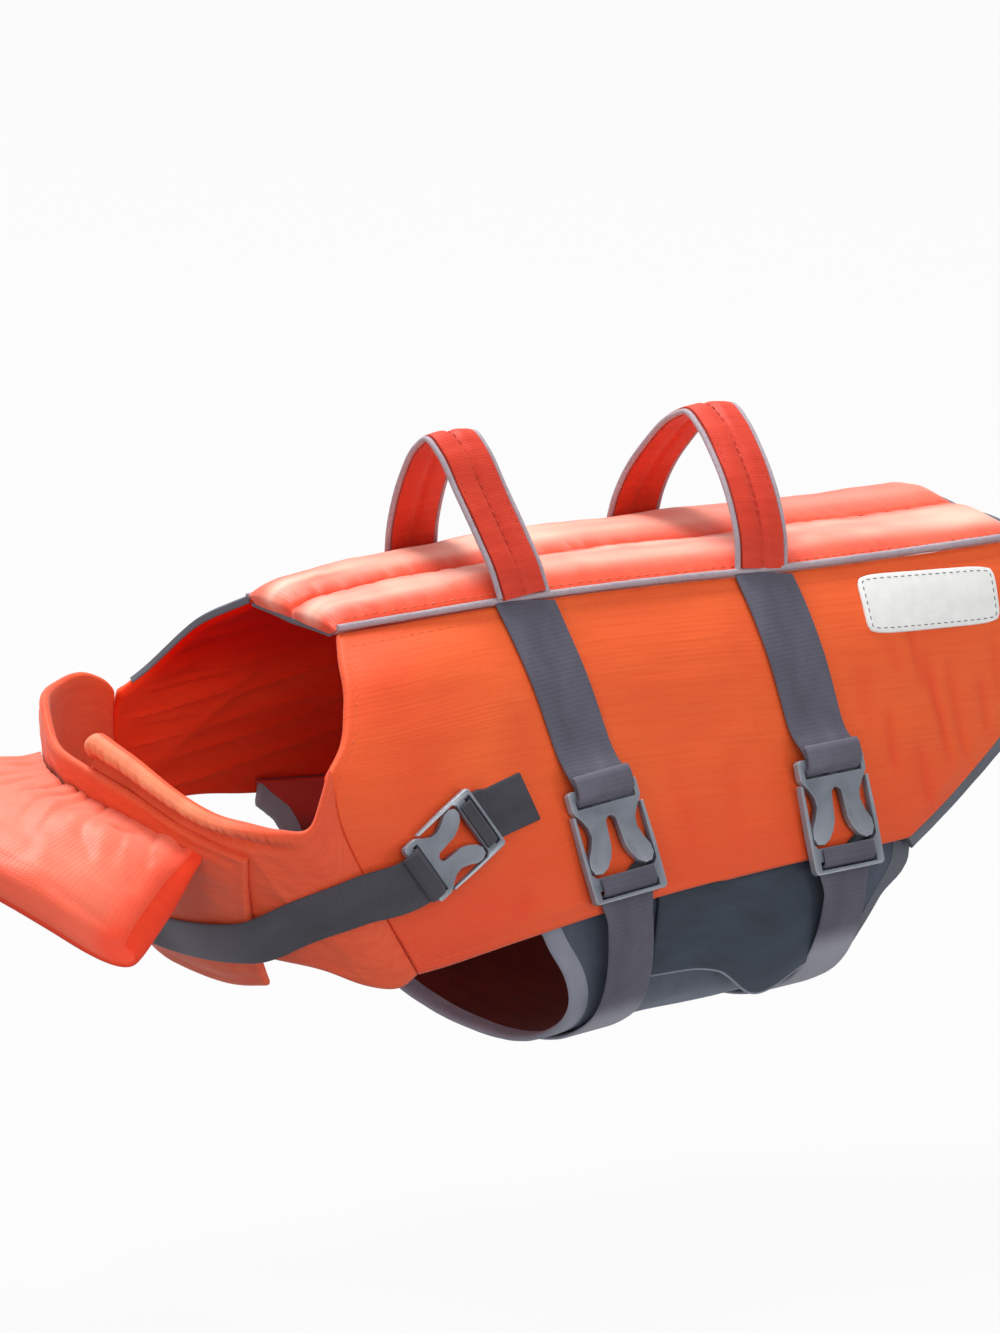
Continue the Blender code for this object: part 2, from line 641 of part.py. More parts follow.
def in_seat(seat, rows, scale=1.0):
    """Stations over a buckle from rows of (down, out above webbing that lies on the plate)."""
    across = seat.to_3x3() @ Vector((1, 0, 0))
    shrink = scale * BUCKLE_LENGTH / BUCKLE_DRAWN
    level = BUCKLE_PLATE * scale + WEB / 2 + SEAM
    return [(seat @ Vector((0, down * shrink, level + out)), across) for down, out in rows]


def under_socket(scale):
    """Rows that take webbing on from the socket's slot under its end bar."""
    low = -BUCKLE_PLATE * scale - SEAM - WEB - 0.4
    return (47.4, low + 0.2), (49.8, low)


LOWER_HEIGHT = (   # girth, height of the lower strap's back over the torso skin
    (112, 1.6), (120, 1.5), (130, 1.9), (140, 2.4), (150, 2.2), (160, 1.2), (178, 0.9), (216, 0.9), (240, 0.9),
    (262, 0.7), (280, 0.8), (292, 1.3), (302, 2.5), (332, 2.5))


def build_girth_straps():
    for which in GIRTH_STRAPS:
        seat = girth_seat(which)
        buckle("girth_buckle_" + which, seat)
        top = BUCKLE_MIDDLE - BUCKLE_LENGTH / 2
        upper = [girth_station(which, g, WEB_CLEAR) for g in stations_between(1.5, top - 13, 6)]
        upper += [girth_station(which, top - 7, 1.8)]
        upper += in_seat(seat, ((-3.5, -1.2),) + ROUND_PLUG_BAR)
        ribbon(f"girth_strap_{which}_upper", "grey_webbing", upper, GIRTH_WEB, WEB, across=2)

        lower = in_seat(seat, ROUND_SOCKET_BAR + under_socket(1.0))
        lower += [girth_station(which, g, smooth(LOWER_HEIGHT, g)) for g in stations_between(116, 330, 28)]
        ribbon(f"girth_strap_{which}_lower", "grey_webbing", lower, BELLY_WEB, WEB, across=2)

        right = [girth_station(which, g, WEB_CLEAR) for g in stations_between(299, 2 * KEEL - 1.5, 10)]
        ribbon(f"girth_strap_{which}_right", "grey_webbing", right, GIRTH_WEB, WEB, across=2)


# ------------------------------------------------------------------ neck strap
NECK_STRAP = (
    # turn, z of its middle, height of its back over the collar skin
    (8, -95.5, 1.2), (16, -98, 0.6), (26, -101.5, 0.5), (36, -106, 1.0), (44, -109.5, 3.9), (50, -112, 4.9),
    (58, -114, 4.9), (66, -115.5, 4.8), (75, -116.5, 4.8), (84, -117, 4.8), (93, -117, 4.8), (102, -116.5, 4.5),
    (112, -115, 3.2), (122, -113, 1.4), (132, -110.5, 0.7), (142, -107, 0.6), (152, -103, 0.5), (162, -99, 0.5),
    (172, -95, 0.7))
NECK_STRAP_RIGHT = ((-160, 87), (-150, 83), (-138, 77), (-126, 72), (-112, 67))      # x, depth


def neck_seat():
    x, depth = NECK_BUCKLE_CENTRE
    middle = torso(x, depth)
    out = outward(torso, x, depth)
    rise = math.radians(NECK_BUCKLE_RISE)
    along = torso(x + math.cos(rise), depth - math.sin(rise)) - middle
    length = NECK_BUCKLE_LENGTH
    along = along.normalized() * length / 2
    return seat_on(middle - along, middle + along, out, length, NECK_BUCKLE_STANDOFF)


def collar_station(turn, z, height):
    up = collar(turn, z + 1) - collar(turn, z - 1)
    return lifted(collar, turn, z, height + WEB / 2), up


def build_neck_strap():
    seat = neck_seat()
    buckle("neck_buckle", seat, NECK_BUCKLE_SCALE)
    across = seat.to_3x3() @ Vector((1, 0, 0))
    start = in_seat(seat, ROUND_PLUG_BAR[::-1] + ((-4.5, -1.2),), NECK_BUCKLE_SCALE)
    run = [collar_station(*row) for row in NECK_STRAP]
    if run[0][1].dot(across) < 0:
        run = [(point, -up) for point, up in run]
    side = [(lifted(torso, x, girth_at(x, depth, RIGHT), 0.6 + WEB / 2),
             torso(x, 2 * KEEL - depth + 1) - torso(x, 2 * KEEL - depth - 1)) for x, depth in NECK_STRAP_RIGHT]
    if side[0][1].dot(run[-1][1]) < 0:
        side = [(point, -up) for point, up in side]
    ribbon("neck_strap", "grey_webbing", start + run + side, NECK_WEB, WEB, across=2)

    patch_x, patch_depth = NECK_PATCH_CENTRE
    loop = in_seat(seat, ROUND_SOCKET_BAR + under_socket(NECK_BUCKLE_SCALE), NECK_BUCKLE_SCALE)
    reach = NECK_PATCH_LENGTH / 2
    for offset in (-reach - 1, -reach / 2, 0, reach / 2, reach):
        x, depth = patch_x + offset, patch_depth - offset * 0.16
        up = torso(x, depth - 1) - torso(x, depth + 1)
        loop.append((lifted(torso, x, depth, SEAM + 0.2 + WEB / 2), up if up.dot(across) > 0 else -up))
    ribbon("neck_strap_patch", "grey_webbing", loop, NECK_WEB, WEB, across=2)


# ------------------------------------------------------------------ handles and label
def build_handles():
    for which, (base_x, top_x, arch) in HANDLES.items():
        tall = max(z for _, z in arch)
        line = through([(y, z) for y, z in arch], 20)
        middle = [Vector((blend(base_x, top_x, point.y / tall), point.x, point.y + piping_level(base_x)))
                  for point in line]
        lengthwise = Vector((1, 0, 0))
        ribbon(f"handle_{which}", "orange_cloth", [(point, lengthwise) for point in middle],
               HANDLE_WIDTH, HANDLE_WALL, across=2)
        for offset, name in ((-1, "a"), (1, "b")):
            shift = lengthwise * offset * (HANDLE_WIDTH / 2 + SEAM + HANDLE_EDGE)
            cord(f"handle_{which}_edge_{name}", "pale_piping", [point + shift for point in middle], HANDLE_EDGE)


def build_label():
    length, height = LABEL_SIZE
    centre_x, centre_depth = LABEL_CENTRE

    def place(u, v, w):
        a, b = 2 * u - 1, 2 * v - 1
        x = centre_x + length / 2 * a * math.sqrt(1 - 0.10 * b ** 8)
        depth = centre_depth + height / 2 * b * math.sqrt(1 - 0.22 * a ** 8)
        x, depth = x - (depth - centre_depth) * LABEL_TILT * 3, depth + (x - centre_x) * LABEL_TILT
        return lifted(torso, x, depth, SEAM + LABEL_WALL * w)
    wall("label_blank", "white_label", 8, 6, place)


def main():
    for old in list(bpy.data.objects):
        bpy.data.objects.remove(old)
    group = bpy.data.collections.new("dog_life_jacket")
    bpy.context.scene.collection.children.link(group)
    build_back()
    cord("piping_left", "pale_piping", piping_line(LEFT), PIPING_RADIUS)
    cord("piping_right", "pale_piping", piping_line(RIGHT), PIPING_RADIUS)
    build_side(LEFT, "side_panel_left")
    build_side(RIGHT, "side_panel_right")
    build_left_arm()
    build_flap()
    build_float()
    build_belly()
    build_tapes()
    build_girth_straps()
    build_neck_strap()
    build_handles()
    build_label()


main()
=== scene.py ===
"""Looks of the dog life jacket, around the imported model.

Lengths are millimetres in the tables and in all maths here, and metres once they are in a mesh. The skins
and edge lines repeat those of the model's source, so each piece lies where its solid does.
"""
import json
import math

import bmesh
import bpy
import numpy as np
from mathutils import Matrix

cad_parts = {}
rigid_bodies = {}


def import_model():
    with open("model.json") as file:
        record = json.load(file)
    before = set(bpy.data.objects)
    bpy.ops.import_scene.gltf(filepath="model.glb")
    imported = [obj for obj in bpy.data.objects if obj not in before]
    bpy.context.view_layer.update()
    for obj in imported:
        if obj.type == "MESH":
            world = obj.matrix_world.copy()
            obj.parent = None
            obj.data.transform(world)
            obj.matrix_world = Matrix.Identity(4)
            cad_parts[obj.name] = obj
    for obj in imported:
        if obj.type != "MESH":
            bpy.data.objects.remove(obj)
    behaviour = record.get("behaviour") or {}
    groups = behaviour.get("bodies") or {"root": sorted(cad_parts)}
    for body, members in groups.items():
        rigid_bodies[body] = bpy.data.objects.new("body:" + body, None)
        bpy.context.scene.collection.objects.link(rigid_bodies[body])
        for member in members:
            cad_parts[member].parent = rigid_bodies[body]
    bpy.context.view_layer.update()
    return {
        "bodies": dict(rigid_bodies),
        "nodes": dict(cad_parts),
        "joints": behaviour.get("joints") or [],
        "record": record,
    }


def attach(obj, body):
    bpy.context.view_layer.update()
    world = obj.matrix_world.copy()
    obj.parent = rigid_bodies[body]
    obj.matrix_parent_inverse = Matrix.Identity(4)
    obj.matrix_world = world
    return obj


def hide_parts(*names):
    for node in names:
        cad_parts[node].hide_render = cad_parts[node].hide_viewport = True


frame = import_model()

MM = 0.001
SEAM, NUDGE = 0.3, 0.2
LEFT, RIGHT = -1, 1
SIDES = ((LEFT, "left"), (RIGHT, "right"))

# ---- sizes from the model's source
SIDE_WALL, ARM_WALL, BELLY_WALL, BELLY_FLAP_WALL = 5.0, 4.0, 2.0, 1.6
WEB, WEB_CLEAR, TAPE = 1.5, 0.6, 2.4
PIPING_RADIUS, PIPING_OUT, PIPING_UP, PIPING_UP_RIGHT = 1.2, 0.9, 1.2, -0.5
BACK_FRONT, BACK_REAR, BACK_LINING, BACK_MITRE = -152.0, 152.0, 3.0, 5.5
BACK_CREST = ((-152, 8.6), (0, 8.0), (152, 5.6))
BACK_GROOVE = ((-152, 2.3), (-73, 3.4), (31, 3.6), (152, 3.4))
BACK_RISE = ((-152, -4.0), (-73, 0.0), (0, 0.0), (31, -1.0), (152, -2.2))
WIDE = 107.0
KEEL = WIDE + 90.0
TORSO_DEPTHS = (0, 12, 25, 50, 80, WIDE)
TORSO = (   # x, half width at each depth, depth of the belly line
    (-190, (30.0, 51.0, 66.0, 84.5, 89.5, 91.0), 205.0),
    (-150, (33.0, 55.5, 68.5, 83.0, 91.5, 94.5), 196.0),
    (-110, (38.0, 52.5, 64.0, 79.0, 91.5, 98.5), 184.0),
    (-73, (42.0, 52.0, 62.0, 76.0, 91.0, 100.0), 184.0),
    (-20, (46.0, 56.0, 66.0, 79.0, 92.5, 101.5), 178.5),
    (31, (48.5, 59.5, 69.0, 81.5, 94.0, 101.5), 174.0),
    (73, (49.0, 60.0, 69.0, 80.0, 90.0, 96.0), 169.0),
    (110, (49.0, 59.0, 66.5, 75.0, 82.0, 85.0), 162.0),
    (160, (48.0, 57.0, 63.0, 69.0, 73.0, 74.0), 155.0),
)
CORE_FRONT, CORE_Z = -150.0, -85.0
NECK_SHARE = 0.34
NECK_EDGE = ((-152, 0.3), (-160, 8.5), (-166, 19), (-174, 32), (-184, 41))
REAR_EDGE = ((152, 0.3), (156, 24), (155, 42), (141, 57.5), (123, 71.5), (97, 88), (71, 101))
HEM = {
    LEFT: ((-151, -129), (-144, -128), (-110, -121), (-71, -114), (16, -105), (71, -104)),
    RIGHT: ((-168, -98), (-142, -97), (-117, -100), (-70, -104), (16, -105), (71, -104)),
}
COLLAR = (   # z, x of the seam, reach in front of it, half width
    (-30, -187.0, 64.0, 81.0), (-44, -185.0, 64.0, 83.0), (-66, -183.0, 61.0, 87.0), (-86, -175.0, 58.0, 90.5),
    (-107, -164.0, 56.0, 92.0), (-129, -151.0, 54.0, 92.0), (-145, -141.0, 52.0, 91.0))
LEFT_ARM_END, ARM_ROLL = 86.0, 3.5
ARM_START, FLAP_FINISH = -0.4, 180.4
LEFT_ARM_TOP = ((0, -45), (10, -64), (23, -66.5), (33, -65), (44, -62.5), (55, -55.5), (67, -46), (86, -36))
LEFT_ARM_BOTTOM = ((0, -129), (12, -134), (24, -132.5), (35, -127), (51, -124.5), (86, -124))
FLAP_TOP = ((36, -78), (46, -72), (55, -66), (67, -57), (85, -50), (105, -46), (128, -38), (150, -37.5),
            (168, -38), (180, -44))
FLAP_BOTTOM = ((50, -132), (57, -134), (69, -137), (90, -136), (115, -131), (140, -119), (165, -104), (180, -98))
FLAP_END_TOP, FLAP_END_BOTTOM, FLAP_CLEAR = 37.0, 56.0, (92.0, 122.0)
FLOAT_FROM, FLOAT_TO = 50.0, 132.0
FLOAT_LINE = ((50, -76), (60, -71.5), (75, -66), (90, -62), (110, -61), (132, -61))
FLOAT_REACH = ((50, 58), (75, 68), (105, 70), (132, 64))
FLOAT_DROP = ((50, 32), (60, 21), (72, 13), (90, 11), (110, 14), (132, 24))
FLOAT_ROOT, FLOAT_THICK = 9.0, 22.0
BELLY_TUCK, BELLY_EASE = 8.0, 48.0
BELLY_FRONT = ((100, -100), (112, -90), (121, -84), (134, -73), (146, -66), (162, -62), (180, -60), (197, -60),
               (225, -68), (255, -82), (272, -91), (284, -97), (299, -112))
BELLY_REAR = ((100, 70), (112, 66), (124, 57), (136, 51), (160, 51.5), (197, 53), (234, 52), (258, 52),
              (270, 57), (282, 66), (299, 70))
FLAP_FRONT, FLAP_REAR = -44.0, 50.0
BELLY_FLAP_HEM = ((-44, 138), (-12, 140), (12, 150), (26, 143), (50, 138))
BELLY_FLAP_CURL = ((-44, 0.0), (-12, 0.8), (14, 4.4), (28, 1.6), (50, 0.0))
GIRTH_WEB, BELLY_WEB, NECK_WEB = 25.0, 20.0, 20.0
GIRTH_STRAPS = {which: left + tuple((2 * KEEL - girth, x) for girth, x in left[-2::-1]) for which, left in {
    "front": ((0, -73.5), (50, -68.5), (107, -62.5), (138, -55), (165, -48), (197, -44)),
    "rear": ((0, 31), (50, 33.5), (107, 36), (138, 37.5), (165, 39.5), (197, 41)),
}.items()}
LOWER_HEIGHT = ((112, 1.6), (120, 1.5), (130, 1.9), (140, 2.4), (150, 2.2), (160, 1.2), (178, 0.9), (216, 0.9),
                (240, 0.9), (262, 0.7), (280, 0.8), (292, 1.3), (302, 2.5), (332, 2.5))
STRAP_PAINTED_LIGHT_LEVEL = {"front": -148.0, "rear": -128.0}      # level under which the webbing is painted paler, as painted light from below
BUCKLE_MIDDLE, BUCKLE_LENGTH, BUCKLE_PLATE, BUCKLE_DRAWN, BUCKLE_STANDOFF = 87.0, 45.0, 3.6, 50.0, 1.2
NECK_BUCKLE_SCALE, NECK_BUCKLE_STANDOFF, NECK_BUCKLE_RISE = 0.84, 2.4, 28.0
NECK_BUCKLE_CENTRE, NECK_PATCH_CENTRE, NECK_PATCH_LENGTH = (-137.0, 76.0), (-106.5, 66.5), 18.0
NECK_STRAP = (   # turn, z, height of its back over the collar
    (8, -95.5, 1.2), (16, -98, 0.6), (26, -101.5, 0.5), (36, -106, 1.0), (44, -109.5, 3.9), (50, -112, 4.9),
    (58, -114, 4.9), (66, -115.5, 4.8), (75, -116.5, 4.8), (84, -117, 4.8), (93, -117, 4.8), (102, -116.5, 4.5),
    (112, -115, 3.2), (122, -113, 1.4), (132, -110.5, 0.7), (142, -107, 0.6), (152, -103, 0.5), (162, -99, 0.5),
    (172, -95, 0.7))
NECK_STRAP_RIGHT = ((-160, 87), (-150, 83), (-138, 77), (-126, 72), (-112, 67))
HANDLES = {
    "front": (-73.5, -80.0, ((-43, 3.8), (-39.5, 12), (-32, 22.5), (-18.5, 39.5), (-7.5, 53), (0, 57.5), (9, 53),
                             (23, 38), (32, 24), (38, 11), (40, 4))),
    "rear": (31.0, 38.0, ((-48.5, 3.3), (-46, 13), (-41, 22), (-33, 32), (-22, 42), (-10, 50.5), (0, 54.5), (10, 51),
                          (28, 36), (40, 21), (45, 10), (46.5, 3.3))),
}
HANDLE_WIDTH, HANDLE_WALL, HANDLE_EDGE = 18.6, 3.0, 1.1
LABEL_CENTRE, LABEL_SIZE, LABEL_WALL, LABEL_TILT = (100.0, 16.5), (62.0, 20.0), 1.0, 0.05

# ---- sizes of the looks alone
# Panels as (length along u, length along v). SIDE_REACH is the side's for distances from its edges.
BACK_SIZE, SIDE_SIZE, SIDE_REACH = (86.0, 304.0), (300.0, 112.0), (300.0, 108.0)
ARM_SIZE, FLAP_SIZE, FLOAT_SIZE = (128.0, 72.0), (215.0, 72.0), (120.0, 68.0)
BELLY_SIZE, BELLY_FLAP_SIZE = (330.0, 118.0), (94.0, 34.0)
WEB_SLANT = 0.24        # how far the cut of the upper webbing leans at the piping
SEWN_IN = 2.2           # from the edge of the webbing to its sewing
HANDLE_SUNK = 1.8       # how far each foot goes down into the piping's seam


# ---- small maths on arrays
def curve(keys, values, at):
    """The smooth curve through values at keys, read at an array. values has one row for each key."""
    keys, values, at = np.asarray(keys, float), np.asarray(values, float), np.asarray(at, float)
    last = len(keys) - 1
    gaps = np.diff(keys)
    tall = gaps.reshape((-1,) + (1,) * (values.ndim - 1))
    secants = np.diff(values, axis=0) / tall
    slopes = np.empty_like(values)
    slopes[0], slopes[-1] = secants[0], secants[-1]
    slopes[1:-1] = (secants[:-1] * tall[1:] + secants[1:] * tall[:-1]) / (tall[:-1] + tall[1:])
    i = np.clip(np.searchsorted(keys, at, side="left") - 1, 0, last - 1)

    def pick(table, k):
        return table[k] if values.ndim == 1 else np.take_along_axis(table, k[None], axis=0)[0]
    t = (at - keys[i]) / gaps[i]
    inside = np.clip(t, 0, 1)
    ease, bend = inside * inside * (3 - 2 * inside), inside * (1 - inside)
    a, b, sa, sb = pick(values, i), pick(values, i + 1), pick(slopes, i), pick(slopes, i + 1)
    found = a * (1 - ease) + b * ease + gaps[i] * bend * ((1 - inside) * sa - inside * sb)
    return found + np.where(t < 0, sa * (at - keys[i]), 0) + np.where(t > 1, sb * (at - keys[i + 1]), 0)


def smooth(rows, at, column=1):
    """The smooth curve through a table's column, over its first column."""
    return curve([row[0] for row in rows], [row[column] for row in rows], at)


def blend(a, b, t):
    return a + (b - a) * t


def ramp(t):
    """From 0 to 1 with a soft start and end, as t goes from 0 to 1."""
    t = np.clip(t, 0.0, 1.0)
    return t * t * (3 - 2 * t)


def bell(distance, width):
    return np.exp(-(distance / width) ** 2)


def run_along(points):
    """The distance of each point from the first, along their line."""
    return np.concatenate(([0.0], np.cumsum(np.linalg.norm(np.diff(points, axis=0), axis=1))))


def read_at(run, rows, at):
    """Vectors given at the distances run, read at others in straight steps between them."""
    return np.stack([np.interp(at, run, rows[:, k]) for k in range(3)], -1)


def bent(run, rows, at):
    """The same on a smooth curve through them."""
    return np.stack([curve(run, rows[:, k], at) for k in range(rows.shape[1])], -1)


def through(points, shares):
    """Points at shares, 0 to 1, of the way along the smooth curve through the given ones."""
    points = np.asarray(points, float)
    run = run_along(points)
    return bent(run, points, np.asarray(shares) * run[-1])


def unit(vectors):
    return vectors / np.maximum(np.linalg.norm(vectors, axis=-1, keepdims=True), 1e-9)


def lattice(ix, iy, seed):
    """A fixed random value from -1 to 1 for each whole point."""
    h = (ix * 374761393 + iy * 668265263 + seed * 1442695041) & 0xFFFFFFFF
    h = ((h ^ (h >> 13)) * 1274126177) & 0xFFFFFFFF
    return ((h ^ (h >> 16)) & 0xFFFF) / 32767.5 - 1


def noise(x, y, seed=0):
    """Smooth value noise from -1 to 1, one cell to a unit."""
    x, y = np.broadcast_arrays(np.asarray(x, float), np.asarray(y, float))
    ix, iy = np.floor(x).astype(np.int64), np.floor(y).astype(np.int64)
    u, v = ramp(x - ix), ramp(y - iy)
    return blend(blend(lattice(ix, iy, seed), lattice(ix + 1, iy, seed), u),
                 blend(lattice(ix, iy + 1, seed), lattice(ix + 1, iy + 1, seed), u), v)


def ridges(x, y, seed=0, sharp=4):
    """Thin winding crests from 0 to 1, as in crumpled cloth, one cell to a unit."""
    return (1 - np.abs(noise(x, y, seed))) ** sharp


# ---- the skins
def piping_level(x):
    """The height of the piping, from which depths are measured."""
    return BACK_LINING + smooth(BACK_RISE, x)


def half_width(x, depth):
    x, depth = np.broadcast_arrays(np.asarray(x, float), np.asarray(depth, float))
    shape = x.shape
    x, depth = x.ravel(), depth.ravel()
    halves = np.stack([curve(TORSO_DEPTHS, row[1], depth) for row in TORSO])
    return curve([row[0] for row in TORSO], halves, x).reshape(shape)


def belly_depth(x):
    return curve([row[0] for row in TORSO], [row[2] for row in TORSO], x)


def torso(x, girth):
    """The body's skin, with girth from 0 at the left piping round the belly to the right one."""
    x, girth = np.broadcast_arrays(np.asarray(x, float), np.asarray(girth, float))
    side = np.where(girth > KEEL, RIGHT, LEFT)
    girth = np.where(girth > KEEL, 2 * KEEL - girth, girth)
    upper = np.minimum(girth, WIDE)
    angle = np.radians(np.maximum(girth - WIDE, 0))
    half = half_width(x, upper) * np.cos(angle)
    depth = upper + (belly_depth(x) - WIDE) * np.sin(angle)
    return np.stack([x, side * half, piping_level(x) - depth], -1)


def girth_at(x, depth, side):
    low = np.maximum(depth - WIDE, 0) / (belly_depth(x) - WIDE)
    girth = np.minimum(depth, WIDE) + np.degrees(np.arcsin(np.clip(low, 0, 1)))
    return girth if side == LEFT else 2 * KEEL - girth


def collar(turn, z):
    """The skin round the neck, with turn from 0 at the left side to 180 at the right one."""
    turn, z = np.broadcast_arrays(np.asarray(turn, float), np.asarray(z, float))
    angle = np.radians(turn)
    seam_x, reach, half = (curve([-row[0] for row in COLLAR], [row[c] for row in COLLAR], -z) for c in (1, 2, 3))
    return np.stack([seam_x - reach * np.sin(angle), -half * np.cos(angle), z + BACK_LINING], -1)


def outward(skin, a, b):
    """The way out of a skin, square to it."""
    here = skin(a, b)
    square = unit(np.cross(skin(a + NUDGE, b) - here, skin(a, b + NUDGE) - here))
    core = np.stack([np.maximum(here[..., 0], CORE_FRONT), np.zeros(here.shape[:-1]),
                     np.full(here.shape[:-1], CORE_Z)], -1)
    return square * np.where((square * (here - core)).sum(-1) > 0, 1, -1)[..., None]


def lifted(skin, a, b, height):
    return skin(a, b) + outward(skin, a, b) * np.asarray(height)[..., None]

# ---- materials
def srgb(colour):
    """A screen colour of 0 to 255 in the linear values that nodes take."""
    def linear(c):
        return c / 12.92 if c <= 0.04045 else ((c + 0.055) / 1.055) ** 2.4
    return tuple(linear(c / 255) for c in colour) + (1.0,)


class Tree:
    """A short way to write the nodes of a material or of the world."""
    def __init__(self, owner):
        self.owner = owner
        owner.use_nodes = True
        self.tree = owner.node_tree
        self.shader = self.tree.nodes.get("Principled BSDF")

    def node(self, kind, inputs=None, **settings):
        made = self.tree.nodes.new("ShaderNode" + kind)
        for key, value in settings.items():
            setattr(made, key, value)
        for key, value in (inputs or {}).items():
            self.feed(made.inputs[key], value)
        return made

    def feed(self, socket, value):
        if isinstance(value, bpy.types.NodeSocket):
            self.tree.links.new(value, socket)
        else:
            socket.default_value = value

    def set(self, **values):
        for key, value in values.items():
            self.feed(self.shader.inputs[key.replace("_", " ")], value)

    def math(self, operation, a, b=0.0):
        return self.node("Math", {0: a, 1: b}, operation=operation).outputs[0]

    def place(self, kind):
        return self.node("TexCoord").outputs[kind]

    def uv(self, scale_u, scale_v):
        return self.node("Mapping", {"Vector": self.place("UV"), "Scale": (scale_u, scale_v, 1)}).outputs["Vector"]

    def noise(self, vector, scale=1.0, detail=3.0):
        return self.node("TexNoise", {"Vector": vector, "Scale": scale, "Detail": detail,
                                      "Roughness": 0.55}).outputs["Fac"]

    def spread(self, value, low, high, to_low=0.0, to_high=1.0):
        return self.node("MapRange", {"Value": value, "From Min": low, "From Max": high, "To Min": to_low,
                                      "To Max": to_high}).outputs["Result"]

    def mix(self, share, a, b):
        return self.node("Mix", {0: share, 6: a, 7: b}, data_type="RGBA").outputs[2]

    def mix_tone_and_painted_shading(self, colour, tone_and_painted_shading_colour):
        """The given colour is reached where the mesh's own value of tone and painted shading is 1."""
        if tone_and_painted_shading_colour is None:
            return colour
        return self.mix(self.node("Attribute", attribute_name="tone_and_painted_shading").outputs["Fac"], colour, srgb(tone_and_painted_shading_colour))

    def bump(self, height, strength, distance):
        made = self.node("Bump", {"Height": height, "Strength": strength, "Distance": distance})
        self.set(Normal=made.outputs["Normal"])

    def wave(self, vector, axis):
        """A sine of one coordinate, 0 to 1, one cycle to a unit."""
        parts = self.node("SeparateXYZ", {"Vector": vector})
        turned = self.math("MULTIPLY", parts.outputs[axis], 2 * math.pi)
        return self.math("ADD", self.math("MULTIPLY", self.math("SINE", turned), 0.5), 0.5)


def cloth(name, light, dark, streaks, weave=1.3, rough=0.62, sheen=0.15, tint=(1, 0.75, 0.65, 1), shine=0.25,
          tone_and_painted_shading_colour=None):
    """Woven synthetic cloth: soft streaks along the weave, mottling, and a fine two-way weave in the bump."""
    t = Tree(bpy.data.materials.new(name))
    light, dark = srgb(light), srgb(dark)
    streak = t.noise(t.uv(*streaks), detail=4.0)
    cloud = t.noise(t.uv(0.018, 0.018), detail=2.0)
    share = t.math("ADD", t.spread(streak, 0.3, 0.7, 0.0, 0.5), t.spread(cloud, 0.3, 0.7, 0.0, 0.5))
    thread = t.uv(1 / weave, 1 / weave)
    threads = t.math("MULTIPLY", t.wave(thread, 0), t.wave(thread, 1))
    colour = t.mix_tone_and_painted_shading(t.mix(share, dark, light), tone_and_painted_shading_colour)
    colour = t.mix(t.math("MULTIPLY", t.math("SUBTRACT", 1.0, threads), 0.10), colour, dark)
    t.set(Base_Color=colour, Roughness=rough, Sheen_Weight=sheen, Sheen_Roughness=0.45, Sheen_Tint=tint,
          Specular_IOR_Level=shine)
    t.bump(t.math("ADD", t.math("MULTIPLY", threads, 0.35), t.math("MULTIPLY", streak, 0.8)), 0.45, 0.0004)
    return t.owner


def webbing(name, light, dark, rib=1.9, tone_and_painted_shading_colour=None):
    """Flat woven webbing: ribs across its length, broken by the warp threads along it."""
    t = Tree(bpy.data.materials.new(name))
    weave = t.uv(1 / 1.25, 1 / rib)
    ribs = t.math("MAXIMUM", t.math("MULTIPLY", t.wave(weave, 0), 0.8), t.wave(weave, 1))
    fuzz, cloud = t.noise(t.uv(0.9, 0.9)), t.noise(t.uv(0.05, 0.02))
    share = t.math("ADD", t.math("MULTIPLY", ribs, 0.2), t.spread(cloud, 0.3, 0.7, 0.0, 0.8))
    t.set(Base_Color=t.mix_tone_and_painted_shading(t.mix(share, srgb(dark), srgb(light)), tone_and_painted_shading_colour), Roughness=0.78, Sheen_Weight=0.08,
          Sheen_Roughness=0.5, Sheen_Tint=(0.8, 0.8, 1, 1), Specular_IOR_Level=0.3)
    t.bump(t.math("ADD", ribs, t.math("MULTIPLY", fuzz, 0.5)), 0.25, 0.0003)
    return t.owner


def plastic(name, light, dark, painted_edge_highlight):
    """Moulded plastic, with a fine grain and painted highlights on its edges."""
    t = Tree(bpy.data.materials.new(name))
    position = t.place("Object")
    cloud = t.noise(position, scale=60.0)
    edge = t.spread(t.node("NewGeometry").outputs["Pointiness"], 0.50, 0.58)
    colour = t.mix(t.spread(cloud, 0.35, 0.65), srgb(dark), srgb(light))
    colour = t.mix(t.math("MULTIPLY", edge, 0.75), colour, srgb(painted_edge_highlight))
    t.set(Base_Color=colour, Roughness=t.spread(cloud, 0.3, 0.7, 0.24, 0.36))
    t.bump(t.noise(position, scale=2600.0, detail=2.0), 0.15, 0.0002)
    return t.owner


def thread(name, colour):
    t = Tree(bpy.data.materials.new(name))
    light = srgb(colour)
    twist = t.spread(t.noise(t.place("Object"), scale=1800.0), 0.3, 0.7)
    t.set(Base_Color=t.mix(twist, tuple(c * 0.7 for c in light[:3]) + (1,), light), Roughness=0.6)
    return t.owner


